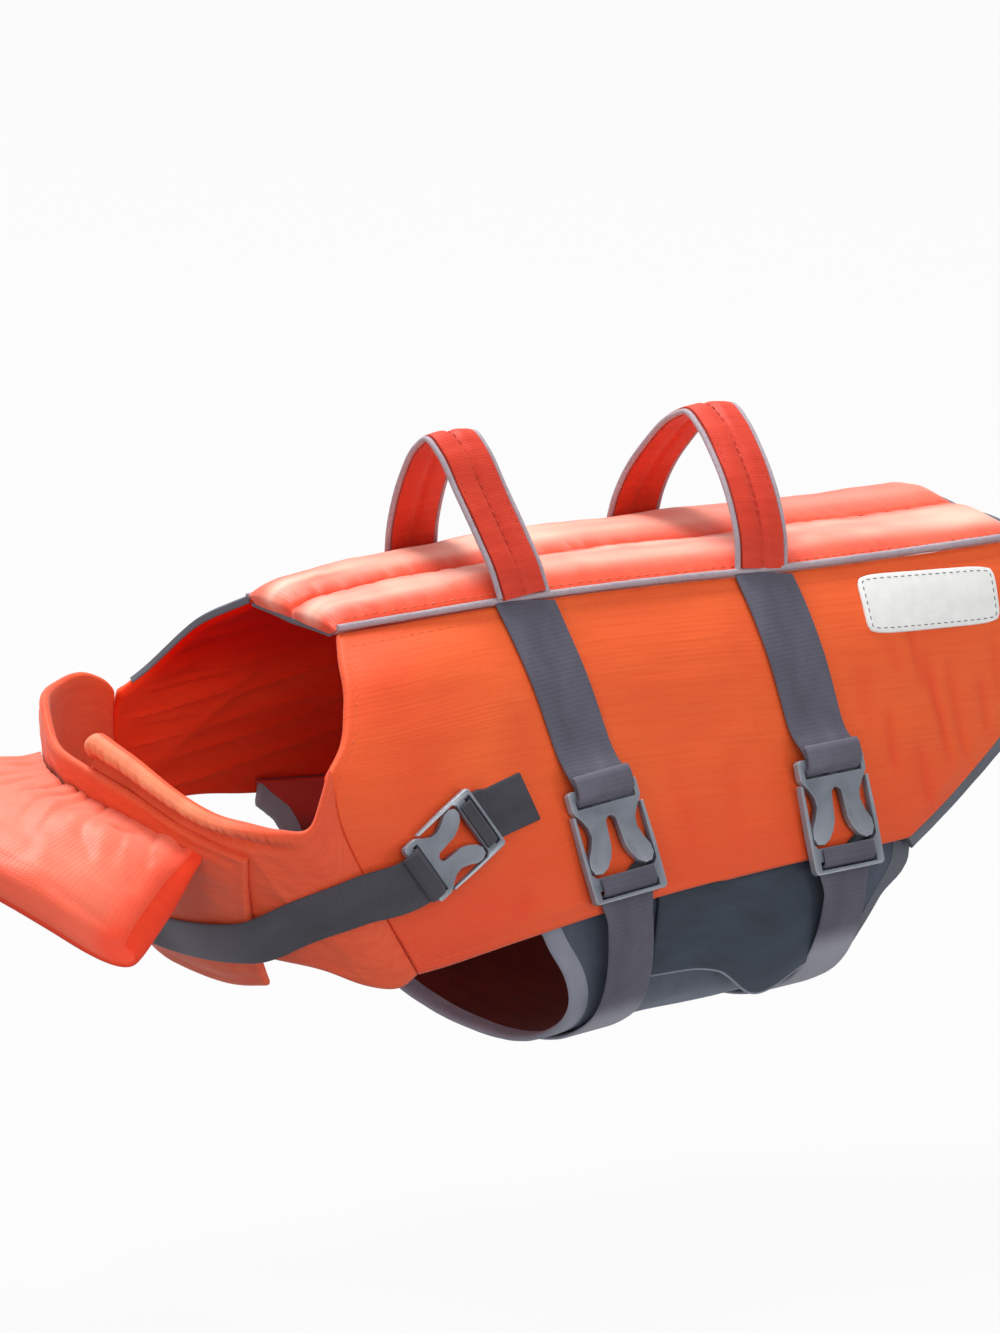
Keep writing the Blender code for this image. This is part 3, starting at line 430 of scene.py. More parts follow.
PALE_SHEEN, BLUE_SHEEN, WHITE = (1, 0.85, 0.8, 1), (0.7, 0.8, 1, 1), (1, 1, 1, 1)
MATERIALS = {
    # orange cloth: its redder second colour is painted shade in the side's creases, and a redder tone towards the hem
    # and front.
    "orange": cloth("orange_side_cloth", (236, 100, 42), (224, 82, 34), (0.035, 0.75), tone_and_painted_shading_colour=(222, 58, 24)),
    # coral cloth: its pale second colour is a painted highlight along the crests of the back.
    "coral": cloth("coral_back_cloth", (238, 86, 50), (222, 62, 32), (0.05, 0.3), sheen=0.4, tint=PALE_SHEEN,
                   rough=0.5, tone_and_painted_shading_colour=(255, 188, 166)),
    # collar cloth: its paler second colour is a painted highlight on the left arm's roll.
    "arm": cloth("orange_collar_cloth", (234, 94, 52), (212, 68, 34), (0.06, 0.4), sheen=0.25, tone_and_painted_shading_colour=(246, 146, 106)),
    "arm_inside": cloth("orange_collar_facing", (250, 94, 48), (232, 74, 34), (0.06, 0.4), sheen=0.2),
    # float cloth: its redder second colour is painted shade where the float's edges turn down.
    "float": cloth("salmon_float_cloth", (238, 120, 92), (230, 96, 68), (0.05, 0.12), sheen=0.35, tint=PALE_SHEEN,
                   rough=0.5, tone_and_painted_shading_colour=(242, 68, 36)),
    # float sides: a redder copy of the float cloth, painted shade on the sides and underside that face away from the
    # light.
    "float_side": cloth("shaded_float_side_cloth", (246, 72, 38), (232, 54, 26), (0.05, 0.12), sheen=0.05, shine=0.15),
    # lining: its paler second colour is painted light where light comes in through the neck opening.
    "lining": cloth("red_lining", (226, 26, 3), (200, 10, 0), (0.03, 0.2), rough=0.8, sheen=0.0, shine=0.03,
                    tone_and_painted_shading_colour=(255, 80, 44)),
    "handle": cloth("red_handle_cloth", (222, 66, 38), (192, 44, 24), (0.3, 0.05), rough=0.55),
    "neoprene": cloth("slate_belly_cloth", (60, 70, 84), (40, 47, 58), (0.05, 0.2), weave=0.9, rough=0.7, sheen=0.2,
                      tint=BLUE_SHEEN),
    # belly panel: a paler copy of the slate flap cloth, painted light from below.
    "neoprene_low": cloth("lit_slate_belly_cloth", (84, 92, 108), (62, 69, 84), (0.05, 0.2), weave=0.9, rough=0.7,
                          sheen=0.2, tint=BLUE_SHEEN),
    # belly lining: its red darkened as painted shade inside the belly; its second colour, towards the right edge, is
    # the lining's own red.
    "belly_inside": cloth("shaded_red_belly_lining", (96, 24, 14), (60, 12, 7), (0.05, 0.2), rough=0.7, sheen=0.05,
                          tone_and_painted_shading_colour=(206, 34, 12)),
    # webbing: its paler second colour is painted light from below on the lower straps.
    "web": webbing("grey_webbing_weave", (98, 96, 110), (66, 64, 76), tone_and_painted_shading_colour=(158, 158, 172)),
    "web_fold": webbing("grey_fold_weave", (108, 106, 120), (80, 78, 90)),
    # dark webbing: its paler second colour is a painted highlight on the neck strap's foremost part.
    "web_dark": webbing("dark_webbing_weave", (72, 70, 78), (48, 47, 54), tone_and_painted_shading_colour=(138, 136, 150)),
    "tape": webbing("grey_binding_weave", (108, 112, 120), (78, 82, 92), rib=1.2),
    "front_tape": webbing("light_binding_weave", (156, 160, 174), (116, 120, 136), rib=1.2),
    "piping": cloth("pale_piping_cloth", (186, 172, 180), (150, 136, 146), (0.4, 0.4), weave=0.8),
    # plastic: its pale third colour is a painted highlight along the edges.
    "plastic": plastic("grey_buckle_plastic", (104, 110, 122), (80, 86, 98), (204, 210, 220)),
    "label": cloth("white_label_weave", (240, 240, 238), (222, 222, 220), (0.2, 0.2), weave=0.7, sheen=0.1,
                   tint=WHITE),
}
for NAME, COLOUR in (("orange_thread", (232, 94, 46)), ("red_thread", (208, 56, 34)),
                     ("grey_thread", (104, 102, 114)), ("pale_thread", (236, 104, 70))):
    MATERIALS[NAME] = thread(NAME, COLOUR)


# ---- making pieces
def linked(name, data):
    """A new object with the data, in the scene."""
    made = bpy.data.objects.new(name, data)
    bpy.context.scene.collection.objects.link(made)
    return made


def placing(right, up, back, spot):
    """The matrix of an object at spot, with its axes along right, up and back."""
    return Matrix(np.vstack((np.column_stack((right, up, back, spot)), (0, 0, 0, 1))).tolist())


def belong(made, replaces):
    """A piece rides on the body root. It may stand for nodes of the model."""
    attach(made, "root")
    if replaces:
        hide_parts(*replaces)
    return made


def put(name, verts, faces, finishes, replaces=(), uvs=None, face_slots=None, sharp_from=50, tone_and_painted_shading=None):
    """A piece from points in millimetres. uvs has one pair for each point, and the tone and painted shading one
    value.
    Edges that turn by more than sharp_from degrees are sharp. Without it none is, and the faces stay as they are
    wound."""
    mesh = bpy.data.meshes.new(name)
    mesh.from_pydata((verts * MM).tolist(), [], faces)
    for finish in finishes:
        mesh.materials.append(MATERIALS[finish])
    if face_slots is not None:
        mesh.polygons.foreach_set("material_index", np.asarray(face_slots, np.int32))
    if uvs is not None:
        corner = np.empty(len(mesh.loops), np.int32)
        mesh.loops.foreach_get("vertex_index", corner)
        mesh.uv_layers.new(name="UVMap").data.foreach_set("uv", uvs[corner].ravel())
    if tone_and_painted_shading is not None:
        shares = np.clip(tone_and_painted_shading, 0, 1).astype(np.float32)
        mesh.attributes.new("tone_and_painted_shading", "FLOAT", "POINT").data.foreach_set("value", shares)
    mesh.shade_smooth()
    if sharp_from:
        mesh.set_sharp_from_angle(angle=math.radians(sharp_from))
        bm = bmesh.new()
        bm.from_mesh(mesh)
        bmesh.ops.recalc_face_normals(bm, faces=bm.faces)
        bm.to_mesh(mesh)
        bm.free()
    return belong(linked(name, mesh), replaces)


def marks(length, step, edge=(0.0, 0.35, 0.9, 1.7, 2.8)):
    """Shares from 0 to 1 along a length, crowded at both ends so that an edge can be rounded."""
    middle = np.linspace(edge[-1], length - edge[-1], max(2, int(round((length - 2 * edge[-1]) / step)) + 1))
    return np.concatenate((edge[:-1], middle, length - np.array(edge[:-1])[::-1])) / length


def grid(u_marks, v_marks):
    return np.meshgrid(u_marks, v_marks, indexing="ij")


def panel_grid(size, step_u, step_v):
    return grid(marks(size[0], step_u), marks(size[1], step_v))


def edge_distance(u, v, size, keen=(1, 1, 1, 1)):
    """Distance from the nearest of the edges u = 0, u = 1, v = 0 and v = 1, each made keener by its factor."""
    return np.minimum(np.minimum(u * size[0] * keen[0], (1 - u) * size[0] * keen[1]),
                      np.minimum(v * size[1] * keen[2], (1 - v) * size[1] * keen[3]))


def rounding(distance, radius):
    """How far a face sinks towards the middle of its wall near an edge, from 0 to 1."""
    near = np.clip(1 - distance / radius, 0, 1)
    return 1 - np.sqrt(1 - near * near)


def sunk(distance, radius, wall, left=0.35):
    """How far each face of a wall sinks near an edge, where left of its half thickness stays."""
    return rounding(distance, radius) * (wall / 2 - left)


def closed_wall(name, u, v, outer, inner, size, finishes, replaces, rim=0, bulge=0.0, rim_slots=(0, 0, 0, 0),
                tone_and_painted_shading=None):
    """A wall between two grids of points, with a rim all round. The outer face has the first finish and the inner
    one the last. rim rows make the rim swell by bulge. bulge and rim_slots, the rim's finishes, are given along the
    edges u = 0, v = 1, u = 1 and v = 0. The last argument holds both faces' values of tone and painted shading."""
    rows, columns = outer.shape[:2]
    count = rows * columns
    index = np.arange(count).reshape(rows, columns)
    quads = np.stack([index[:-1, :-1], index[1:, :-1], index[1:, 1:], index[:-1, 1:]], -1).reshape(-1, 4)
    loop = np.concatenate((index[0, :], index[1:, -1], index[-1, -2::-1], index[-2:0:-1, 0]))
    row, column = np.clip(loop // columns, 1, rows - 2), np.clip(loop % columns, 1, columns - 2)
    sides_long = (columns - 1, rows - 1, columns - 1, rows - 1)
    bulge = np.repeat(np.broadcast_to(bulge, 4), sides_long)[:, None]
    outer_flat, inner_flat = outer.reshape(-1, 3), inner.reshape(-1, 3)
    middle = (outer_flat + inner_flat) / 2
    away = unit(middle[loop] - middle[row * columns + column])
    uv = np.stack([u * size[0], v * size[1]], -1).reshape(-1, 2)
    verts, uvs, rings = [outer_flat, inner_flat], [uv, uv + 0.37], [loop]
    for k in range(1, rim + 1):
        share = k / (rim + 1)
        verts.append(blend(outer_flat[loop], inner_flat[loop], share) + away * bulge * math.sin(math.pi * share))
        uvs.append(uv[loop] + share * 9)
        rings.append(2 * count + (k - 1) * len(loop) + np.arange(len(loop)))
    rings.append(loop + count)
    sides = [np.stack([a, np.roll(a, -1), np.roll(b, -1), b], -1) for a, b in zip(rings, rings[1:])]
    faces = np.concatenate([quads, quads[:, ::-1] + count] + sides).tolist()
    face_slots = [0] * len(quads) + [len(finishes) - 1] * len(quads)
    face_slots += np.tile(np.repeat(rim_slots, sides_long), rim + 1).tolist()
    if tone_and_painted_shading is not None:
        tone_and_painted_shading = [np.broadcast_to(face, outer.shape[:2]).ravel() for face in tone_and_painted_shading]
        tone_and_painted_shading = np.concatenate(tone_and_painted_shading + [tone_and_painted_shading[0][loop]] * rim)
    return put(name, np.concatenate(verts), faces, finishes, replaces, np.concatenate(uvs), face_slots,
               tone_and_painted_shading=tone_and_painted_shading)


def sleeve(rings, sides, first=0):
    """Faces of a tube of rings of points, numbered from first, with a cap at each end."""
    index = first + np.arange(rings * sides).reshape(rings, sides)
    turned = np.roll(index, -1, axis=1)
    quads = np.stack([index[:-1], turned[:-1], turned[1:], index[1:]], -1).reshape(-1, 4).tolist()
    return quads + [index[0, ::-1].tolist(), index[-1].tolist()]


def loft(name, rings, around, run, finish, replaces, sharp_from=60, tone_and_painted_shading=None):
    """A closed strip or cord through rings of points. around and run are its distances round and along."""
    count, sides = rings.shape[:2]
    uvs = np.stack([np.tile(around, count), np.repeat(run, sides)], -1)
    return put(name, rings.reshape(-1, 3), sleeve(count, sides), [finish], replaces, uvs,
               sharp_from=sharp_from, tone_and_painted_shading=tone_and_painted_shading)


def circles(side, up, sides):
    """A circle of radius 1 for each pair of vectors, in their plane."""
    angle = np.linspace(0, 2 * math.pi, sides, endpoint=False)[:, None]
    return np.cos(angle) * side[:, None] + np.sin(angle) * up[:, None]


CORD_SIDES = 10


def cord(name, points, radius, finish, replaces=()):
    """A round cord along points. radius may change along it."""
    ahead = unit(np.gradient(points, axis=0))
    side = np.cross(ahead, (0.0, 0.0, 1.0))
    flat = np.linalg.norm(side, axis=1) < 0.2
    side[flat] = np.cross(ahead[flat], (1.0, 0.0, 0.0))
    side = unit(side)
    thick = np.broadcast_to(radius, len(points))[:, None, None]
    rings = points[:, None] + thick * circles(side, np.cross(side, ahead), CORD_SIDES)
    around = np.linspace(0, 2 * math.pi * np.max(radius), CORD_SIDES)
    loft(name, rings, around, run_along(points), finish, replaces)


STITCH = ((-0.5, 0.35, -0.9), (-0.36, 0.9, 0.1), (0.0, 1.0, 0.35), (0.36, 0.9, 0.1), (0.5, 0.35, -0.9))
STITCH_SIDES, STITCH_SINK = 6, 0.1


def stitches(name, lines, finish, length=3.0, gap=1.2, radius=0.32):
    """Rows of stitches. Each line is (points, normals): a stitch lies along it, its ends going into the cloth."""
    shares, widths, rises = np.array(STITCH).T
    verts, faces = [], []
    for points, normals in lines:
        normals, run = unit(normals), run_along(points)
        count = max(1, int(run[-1] / (length + gap)))
        for middle in (np.arange(count) + 0.5) * run[-1] / count:
            at = middle + shares * length
            here, up = read_at(run, points, at), unit(read_at(run, normals, at))
            side = unit(np.cross(unit(np.gradient(here, axis=0)), up))
            rings = (here + up * (rises * radius - STITCH_SINK)[:, None])[:, None]
            rings = rings + widths[:, None, None] * radius * circles(side, up, STITCH_SIDES)
            faces += sleeve(len(STITCH), STITCH_SIDES, len(verts) * len(STITCH) * STITCH_SIDES)
            verts.append(rings.reshape(-1, 3))
    put(name, np.concatenate(verts), faces, [finish], sharp_from=None)

# ---- back panel
def back_point(x, t, top):
    """The back's top, or its lining. t goes from -1 at the left piping to 1 at the right one."""
    half = half_width(x, 0) - SEAM
    groove, crest = smooth(BACK_GROOVE, x), smooth(BACK_CREST, x)
    if not top:
        low = piping_level(x) - BACK_LINING + 0.4 * noise(x / 22, t * 3, 5)
        return np.stack([x, (half - BACK_MITRE) * t, low], -1)
    front = np.clip(1 - (x - BACK_FRONT) / 10, 0, 1)
    rear = np.clip(1 - (BACK_REAR - x) / 7, 0, 1)
    closed = 0.20 + 0.80 * np.sqrt(1 - np.maximum(front, rear) ** 2)
    dome = np.abs(np.sin(math.pi * t)) ** 0.55
    from_groove, from_piping = np.abs(t) * half, (1 - np.abs(t)) * half
    way = np.sign(t) * 3.1
    spot = np.mod(x + way + 3.0 * noise(x / 9, way, 3), 10.0) - 5.0
    tucks = bell(spot, 1.3 + 0.6 * noise(x / 13, way, 9)) * (0.65 + 0.35 * noise(x / 17, way, 4))
    pucker = 1.9 * tucks * bell(from_groove - 2.5, 5.0) + 1.4 * tucks * bell(from_piping - 2.5, 4.5)
    soft = 1.1 * noise(x / 38, t * 1.4, 7) + 0.5 * noise(x / 14, t * 3, 8)
    soft += 0.55 * ridges(x / 30, t * 2.6 + 0.3 * np.sin(x / 25), 12)
    height = (1 - t ** 6) * groove * closed + (crest - groove) * dome * closed
    height += closed * dome * (soft - pucker) - 0.8 * bell(from_groove, 1.2)
    return np.stack([x - 2.2 * dome * front, half * t, piping_level(x) + np.maximum(height, 0.25)], -1)


def back_painted_highlight(x, t):
    """Painted highlight: the cloth is painted paler along the crests of the two pads, where the light from above
    falls.
    """
    half = half_width(x, 0)
    crest = ramp((np.abs(t) * half - 3) / 12) * ramp(((1 - np.abs(t)) * half - 5) / 13)
    patches = 0.6 + 0.24 * noise(x / 34, t * 2.2, 91) + 0.12 * noise(x / 9, t * 6, 92)
    patches += 0.2 * noise(x / 44, t * 9, 93)
    ahead = 1 + 0.5 * ramp((-10 - x) / 60) + 0.15 * ramp((x - 30) / 60)
    return crest * np.clip(patches * ahead, 0, 1.2) * (1 - 0.65 * ramp((x - 20) / 80) * ramp(t * 8))


def build_back():
    u, v = panel_grid(BACK_SIZE, 1.1, 1.5)
    x, t = blend(BACK_FRONT, BACK_REAR, v), 2 * u - 1
    made = closed_wall("back_cloth", u, v, back_point(x, t, True), back_point(x, t, False), BACK_SIZE,
                       ["coral", "lining"], ["back_panel"], tone_and_painted_shading=(back_painted_highlight(x, t), 0.0))
    x = np.linspace(BACK_FRONT + 4, BACK_REAR - 4, 160)

    def row(t, way):
        return back_point(x, t, True), np.tile(way, (len(x), 1))
    stitches("back_groove_stitches", [row(side * 0.018, (0, 0, 1)) for side in (-1, 1)], "pale_thread")
    rows = [row(side * (1 - 2.6 / half_width(x, 0)), (0, side * 0.7, 0.7)) for side in (-1, 1)]
    stitches("back_edge_stitches", rows, "pale_thread", radius=0.24)


def build_piping():
    x = np.linspace(BACK_FRONT, BACK_REAR, 260)
    wobble = 1 + 0.05 * noise(x / 5, 0, 11)
    for side, name in SIDES:
        girth, up = (0, PIPING_UP) if side == LEFT else (2 * KEEL, PIPING_UP_RIGHT)
        line = torso(x, girth) + np.array((0, side * PIPING_OUT, up))
        cord(f"piping_cord_{name}", line, PIPING_RADIUS * 1.12 * wobble, "piping", [f"piping_{name}"])


# ---- side panels
def front_edge(side, v):
    hem_x, hem_z = HEM[side][0]
    notch_z = piping_level(NECK_EDGE[-1][0]) - NECK_EDGE[-1][1] - BACK_LINING
    neck = through(NECK_EDGE, np.clip(v / NECK_SHARE, 0, 1))
    z = blend(notch_z, hem_z, np.clip((v - NECK_SHARE) / (1 - NECK_SHARE), 0, 1))
    x = collar(0.0, z)[..., 0] + SEAM
    upper = v <= NECK_SHARE
    return np.where(upper, neck[..., 0], x), np.where(upper, neck[..., 1], piping_level(x) - BACK_LINING - z)


def hem_line(side, u):
    rows = HEM[side]
    x = blend(rows[0][0], rows[-1][0], u)
    return x, piping_level(x) - BACK_LINING - smooth(rows, x)


def side_girth(side, u, v):
    """(x, girth, depth) of a side panel, u from front to rear and v from the piping to the hem."""
    def top(a):
        return blend(BACK_FRONT, BACK_REAR, a), 0.3
    rear = through(REAR_EDGE, v)
    front, low, high = front_edge(side, v), hem_line(side, u), top(u)
    low0, low1, high0, high1 = hem_line(side, 0.0), hem_line(side, 1.0), top(0.0), top(1.0)
    x, depth = (
        (1 - v) * high[k] + v * low[k] + (1 - u) * front[k] + u * rear[..., k]
        - ((1 - u) * (1 - v) * high0[k] + u * (1 - v) * high1[k] + (1 - u) * v * low0[k] + u * v * low1[k])
        for k in (0, 1))
    return x, girth_at(x, depth, side), depth


SIDE_CREASES = (   # x and depth at the top, x and depth at the bottom, half width, depth of the trough
    (92, 26, 95, 82, 2.3, 1.5), (87, 20, 89, 50, 2.2, 1.1), (102, 34, 104, 84, 2.6, 1.1),
    (70, 48, 67, 78, 2.6, 1.1), (117, 42, 117, 72, 2.4, 1.1), (81, 62, 83, 96, 3.0, 1.0),
    (127, 28, 124, 60, 2.6, 0.8), (76, 24, 78, 44, 3.0, 0.6), (62, 30, 58, 66, 5.0, 0.6),
    (-32, 52, -28, 100, 4.0, 0.4), (-6, 60, -10, 100, 4.0, 0.4), (-100, 96, -112, 112, 4.0, 0.8),
    (-118, 52, -130, 80, 5.0, 0.7), (-92, 30, -88, 60, 5.0, 0.4), (10, 20, 14, 40, 5.0, 0.4),
    (139, 20, 138, 44, 4.0, 0.7),
)


def crease(x, y, x0, y0, x1, y1, width, deep, sway=0.6, turns=1 / 9.0, start=0.0):
    """A soft trough along a line, swaying from it and dying away at its ends."""
    length = math.hypot(x1 - x0, y1 - y0)
    along = ((x - x0) * (x1 - x0) + (y - y0) * (y1 - y0)) / length
    off = ((x - x0) * (y1 - y0) - (y - y0) * (x1 - x0)) / length + sway * np.sin(along * turns + start)
    return deep * bell(off, width) * ramp(along / length * 3) * ramp((length - along) / length * 3)


def strap_relief(x, girth):
    """1 under the webbing and 0 well away from it."""
    near = np.zeros_like(x)
    for rows in GIRTH_STRAPS.values():
        near = np.maximum(near, 1 - ramp((np.abs(x - smooth(rows, girth)) - GIRTH_WEB / 2 - 1) / 14))
    return near


def side_tone_and_painted_crease_shade(x, depth, under):
    """The cloth is redder towards its hem and its front, and redder in its creases as painted shade."""
    folds = sum(crease(x, depth, *row) for row in SIDE_CREASES)
    low = 0.45 * ramp((depth - 52) / 55) + 0.3 * ramp((-96 - x) / 55) + 0.12 * noise(x / 24, depth / 17, 26)
    return np.clip(low, 0, 1) + 0.38 * folds * (1 - under)


def side_height(side, u, v, x, girth, depth):
    edge = edge_distance(u, v, SIDE_REACH)
    under = strap_relief(x, girth)
    free = ramp((edge - 2) / 16) * (1 - under)
    height = free * (0.9 + 0.9 * noise(x / 42, depth / 30, 21 + side))
    height += free * (0.35 * noise(x / 15, depth / 13, 22) + 0.16 * noise(x / 26, depth / 4.2, 23))
    for row in SIDE_CREASES:
        height -= crease(x, depth, *row) * (1 - under) * ramp(edge / 6)
    height -= 0.3 * bell(edge - 4.2, 1.4) * (0.7 + 0.3 * noise(x / 6, depth / 6, 24))
    return np.where(under > 0.02, np.minimum(height, 1.2 * (1 - under)), height)


def build_side(side, name):
    u, v = panel_grid(SIDE_SIZE, 1.8, 1.2)
    x, girth, depth = side_girth(side, u, v)
    seam = 1 + 2 * ramp((v - NECK_SHARE + 0.02) * 25)
    sink = sunk(edge_distance(u, v, SIDE_REACH, (seam, 1, 3, 1)), 2.6, SIDE_WALL)
    wrinkle = 1.2 * noise(x / 40, depth / 8, 31) + 0.5 * noise(x / 18, depth / 3.4, 32)
    wrinkle -= 2.0 * ridges(x / 55 + depth / 50, depth / 12 + x / 90, 33, 5) * ramp((110 - x) / 60)
    lining = -SIDE_WALL + sink + ramp(edge_distance(u, v, SIDE_REACH) / 14) * (wrinkle - 0.2)
    outer = lifted(torso, x, girth, side_height(side, u, v, x, girth, depth) - sink)
    # Painted light on the lining: paler towards its lower front, where light comes in through the neck opening.
    lining_painted_light = ramp((0.52 - u) / 0.40) * ramp((v - 0.15) / 0.3) * (0.85 + 0.15 * noise(x / 20, depth / 6, 34))
    made = closed_wall(f"side_cloth_{name}", u, v, outer, lifted(torso, x, girth, lining), SIDE_SIZE,
                       ["orange", "lining"], [f"side_panel_{name}"],
                       rim_slots=(1 if side == RIGHT else 0, 0, 0, 0),
                       tone_and_painted_shading=(side_tone_and_painted_crease_shade(x, depth, strap_relief(x, girth)), lining_painted_light))

    def row(u, v):
        x, girth, depth = side_girth(side, u, v)
        return lifted(torso, x, girth, side_height(side, u, v, x, girth, depth)), outward(torso, x, girth)
    along, down = np.linspace(0.014, 0.986, 200), np.linspace(0.05, 0.95, 120)
    rows = [row(along, v) for v in (0.038, 0.962)] + [row(u, down) for u in (0.0145, 0.9855)]
    stitches(f"side_stitches_{name}", rows, "orange_thread", radius=0.25)


# ---- collar
def build_left_arm():
    u, v = panel_grid(ARM_SIZE, 0.85, 1.0)
    turn = blend(ARM_START, LEFT_ARM_END, u)
    round_end = 6.0 * rounding((1 - u) * ARM_SIZE[0], 8.0)
    z = blend(smooth(LEFT_ARM_TOP, turn) - round_end, smooth(LEFT_ARM_BOTTOM, turn) + round_end, v)
    down = v * ARM_SIZE[1]
    under_roll = ramp((turn - 12) / 26)
    thick = ARM_WALL + ARM_ROLL * ramp(1 - v * 8.5) * under_roll
    sink = sunk(edge_distance(u, v, ARM_SIZE, (3.5, 1, 1, 1)), 3.0, thick)
    uneven = turn * 1.5 + 1.6 * noise(turn / 4, 0, 41)
    tucks = bell(np.mod(uneven, 4.2) - 2.1, 0.85) * (0.7 + 0.3 * noise(turn / 4, 3, 44))
    puff = under_roll * (2.1 * bell(down - 3.4, 2.9) - 1.9 * bell(down - 8.0, 1.8)
                         - 1.5 * tucks * bell(down - 5.4, 3.4))
    soft = ramp(edge_distance(u, v, ARM_SIZE) / 10) * (
        0.9 * noise(turn / 14, down / 16, 42) + 0.4 * noise(turn / 6, down / 6, 43)
        + 0.7 * ridges(turn / 16 + down / 60, down / 13, 45))
    # Painted highlight: the top of the roll is painted paler, where the light from above falls on it.
    pale = ramp((turn - 26) / 30) * ramp((7.6 - down) / 2.4) * (0.75 + 0.25 * noise(turn / 3, down / 3, 46))
    made = closed_wall("collar_arm_cloth_left", u, v, lifted(collar, turn, z, puff + soft * 0.8 - sink),
                       lifted(collar, turn, z, -thick + sink + soft * 0.6), ARM_SIZE, ["arm", "arm_inside"],
                       ["collar_arm_left"], tone_and_painted_shading=(pale, 0.0))


def flap_lift(turn):
    """The flap lies over the left arm, and comes down to the collar where the arm ends."""
    start, end = FLAP_CLEAR
    return (ARM_WALL + SEAM) * (1 - ramp((turn - start) / (end - start)))


def build_flap():
    u, v = panel_grid(FLAP_SIZE, 1.6, 1.3)
    turn = blend(blend(FLAP_END_TOP, FLAP_END_BOTTOM, v), FLAP_FINISH, u)
    z = blend(smooth(FLAP_TOP, turn) - 4.0 * rounding((1 - u) * FLAP_SIZE[0], 9.0), smooth(FLAP_BOTTOM, turn), v)
    edge = edge_distance(u, v, FLAP_SIZE)
    sink = sunk(edge_distance(u, v, FLAP_SIZE, (1, 3, 1, 1)), 2.4, ARM_WALL)
    soft = ramp(edge / 9) * (0.9 * noise(turn / 13, v * 5, 51) + 0.35 * noise(turn / 5, v * 12, 52)
                             + 0.7 * ridges(turn / 18 + v, v * 4.5, 53))
    soft -= 0.6 * bell(edge - 4.0, 1.3)
    made = closed_wall("collar_flap_cloth", u, v, lifted(collar, turn, z, flap_lift(turn) + soft - sink),
                       lifted(collar, turn, z, flap_lift(turn) - ARM_WALL + sink + 0.4 * soft), FLAP_SIZE,
                       ["arm", "arm_inside"], ["collar_arm_right_flap"])


FLOAT_FOLDS = (   # share round, share out, then the same at the other end, half width, depth
    (0.16, 0.06, 0.20, 0.30, 0.020, 3.0), (0.09, 0.30, 0.02, 0.72, 0.020, 1.5), (0.24, 0.30, 0.14, 0.66, 0.018, 1.6),
    (0.34, 0.08, 0.27, 0.46, 0.020, 1.8), (0.30, 0.60, 0.22, 0.92, 0.020, 1.3), (0.44, 0.20, 0.40, 0.62, 0.018, 1.5),
    (0.52, 0.05, 0.55, 0.36, 0.018, 1.6), (0.58, 0.45, 0.50, 0.90, 0.022, 1.4), (0.70, 0.10, 0.64, 0.52, 0.020, 1.6),
    (0.80, 0.40, 0.73, 0.85, 0.020, 1.3), (0.88, 0.08, 0.86, 0.42, 0.018, 1.4), (0.95, 0.35, 0.93, 0.80, 0.016, 1.0),
)
FLOAT_ASPECT = 0.6      # the float's width out over its length round, for its folds


def float_point(u, v, top):
    """The float's top or its underside. The top is drawn in at its edge, so the gusset shows round it."""
    ends, out_far = np.minimum(u, 1 - u) * FLOAT_SIZE[0], (1 - v) * FLOAT_SIZE[1]
    corner = 0.13 * v * v * rounding(ends, 15.0)
    round_u, out_v = 0.5 + (u - 0.5) * (1 - 0.045 * top), v * (1 - 0.012 * top) - corner
    turn = blend(FLOAT_FROM, FLOAT_TO, round_u)
    z = smooth(FLOAT_LINE, turn)
    out = outward(collar, turn, z)
    out[..., 2] = 0
    out = unit(out)
    root = collar(turn, z) + out * (flap_lift(turn) + 1.2)[..., None]
    thick = blend(FLOAT_ROOT, FLOAT_THICK, ramp(v * 2.5))
    thick = thick * (1 - 0.58 * rounding(ends, 17)) * (1 - 0.74 * rounding(out_far, 20.0))
    folds = sum(crease(u, v * FLOAT_ASPECT, u0, v0 * FLOAT_ASPECT, u1, v1 * FLOAT_ASPECT, width, deep, sway=0.012,
                       turns=25, start=u0 * 40) for u0, v0, u1, v1, width, deep in FLOAT_FOLDS)
    inside = ramp(ends / 6) * ramp((1 - v) * 12)
    slant = u * FLOAT_SIZE[0] + v * 26.0
    crumple = 0.75 * noise(slant / 9.0, v * 1.3, 63) + 0.35 * noise(slant / 4.2, v * 2.4, 64)
    gather = bell(np.mod(slant + 2.5 * noise(slant / 8, v * 3, 66), 10.5) - 5.2, 1.5) * ramp((0.75 - v) / 0.5)
    crumple -= 1.6 * gather * (0.6 + 0.4 * noise(slant / 13, v * 2, 67))
    soft = 1.0 * noise(u * 5, v * 3, 61) + inside * (crumple - 0.3 - 0.45 * folds)
    soft -= 0.9 * bell(np.minimum(ends, out_far) - 5.5, 2.4) * (0.6 + 0.4 * noise(u * 26, v * 15, 65))
    lift = soft * ramp(ends / 4 + 0.15) if top else -0.5 * soft * inside
    point = root + out * (smooth(FLOAT_REACH, turn) * out_v)[..., None]
    point[..., 2] += -smooth(FLOAT_DROP, turn) * out_v + thick * (top - 0.5) - FLOAT_ROOT * 0.3 + lift
    return point


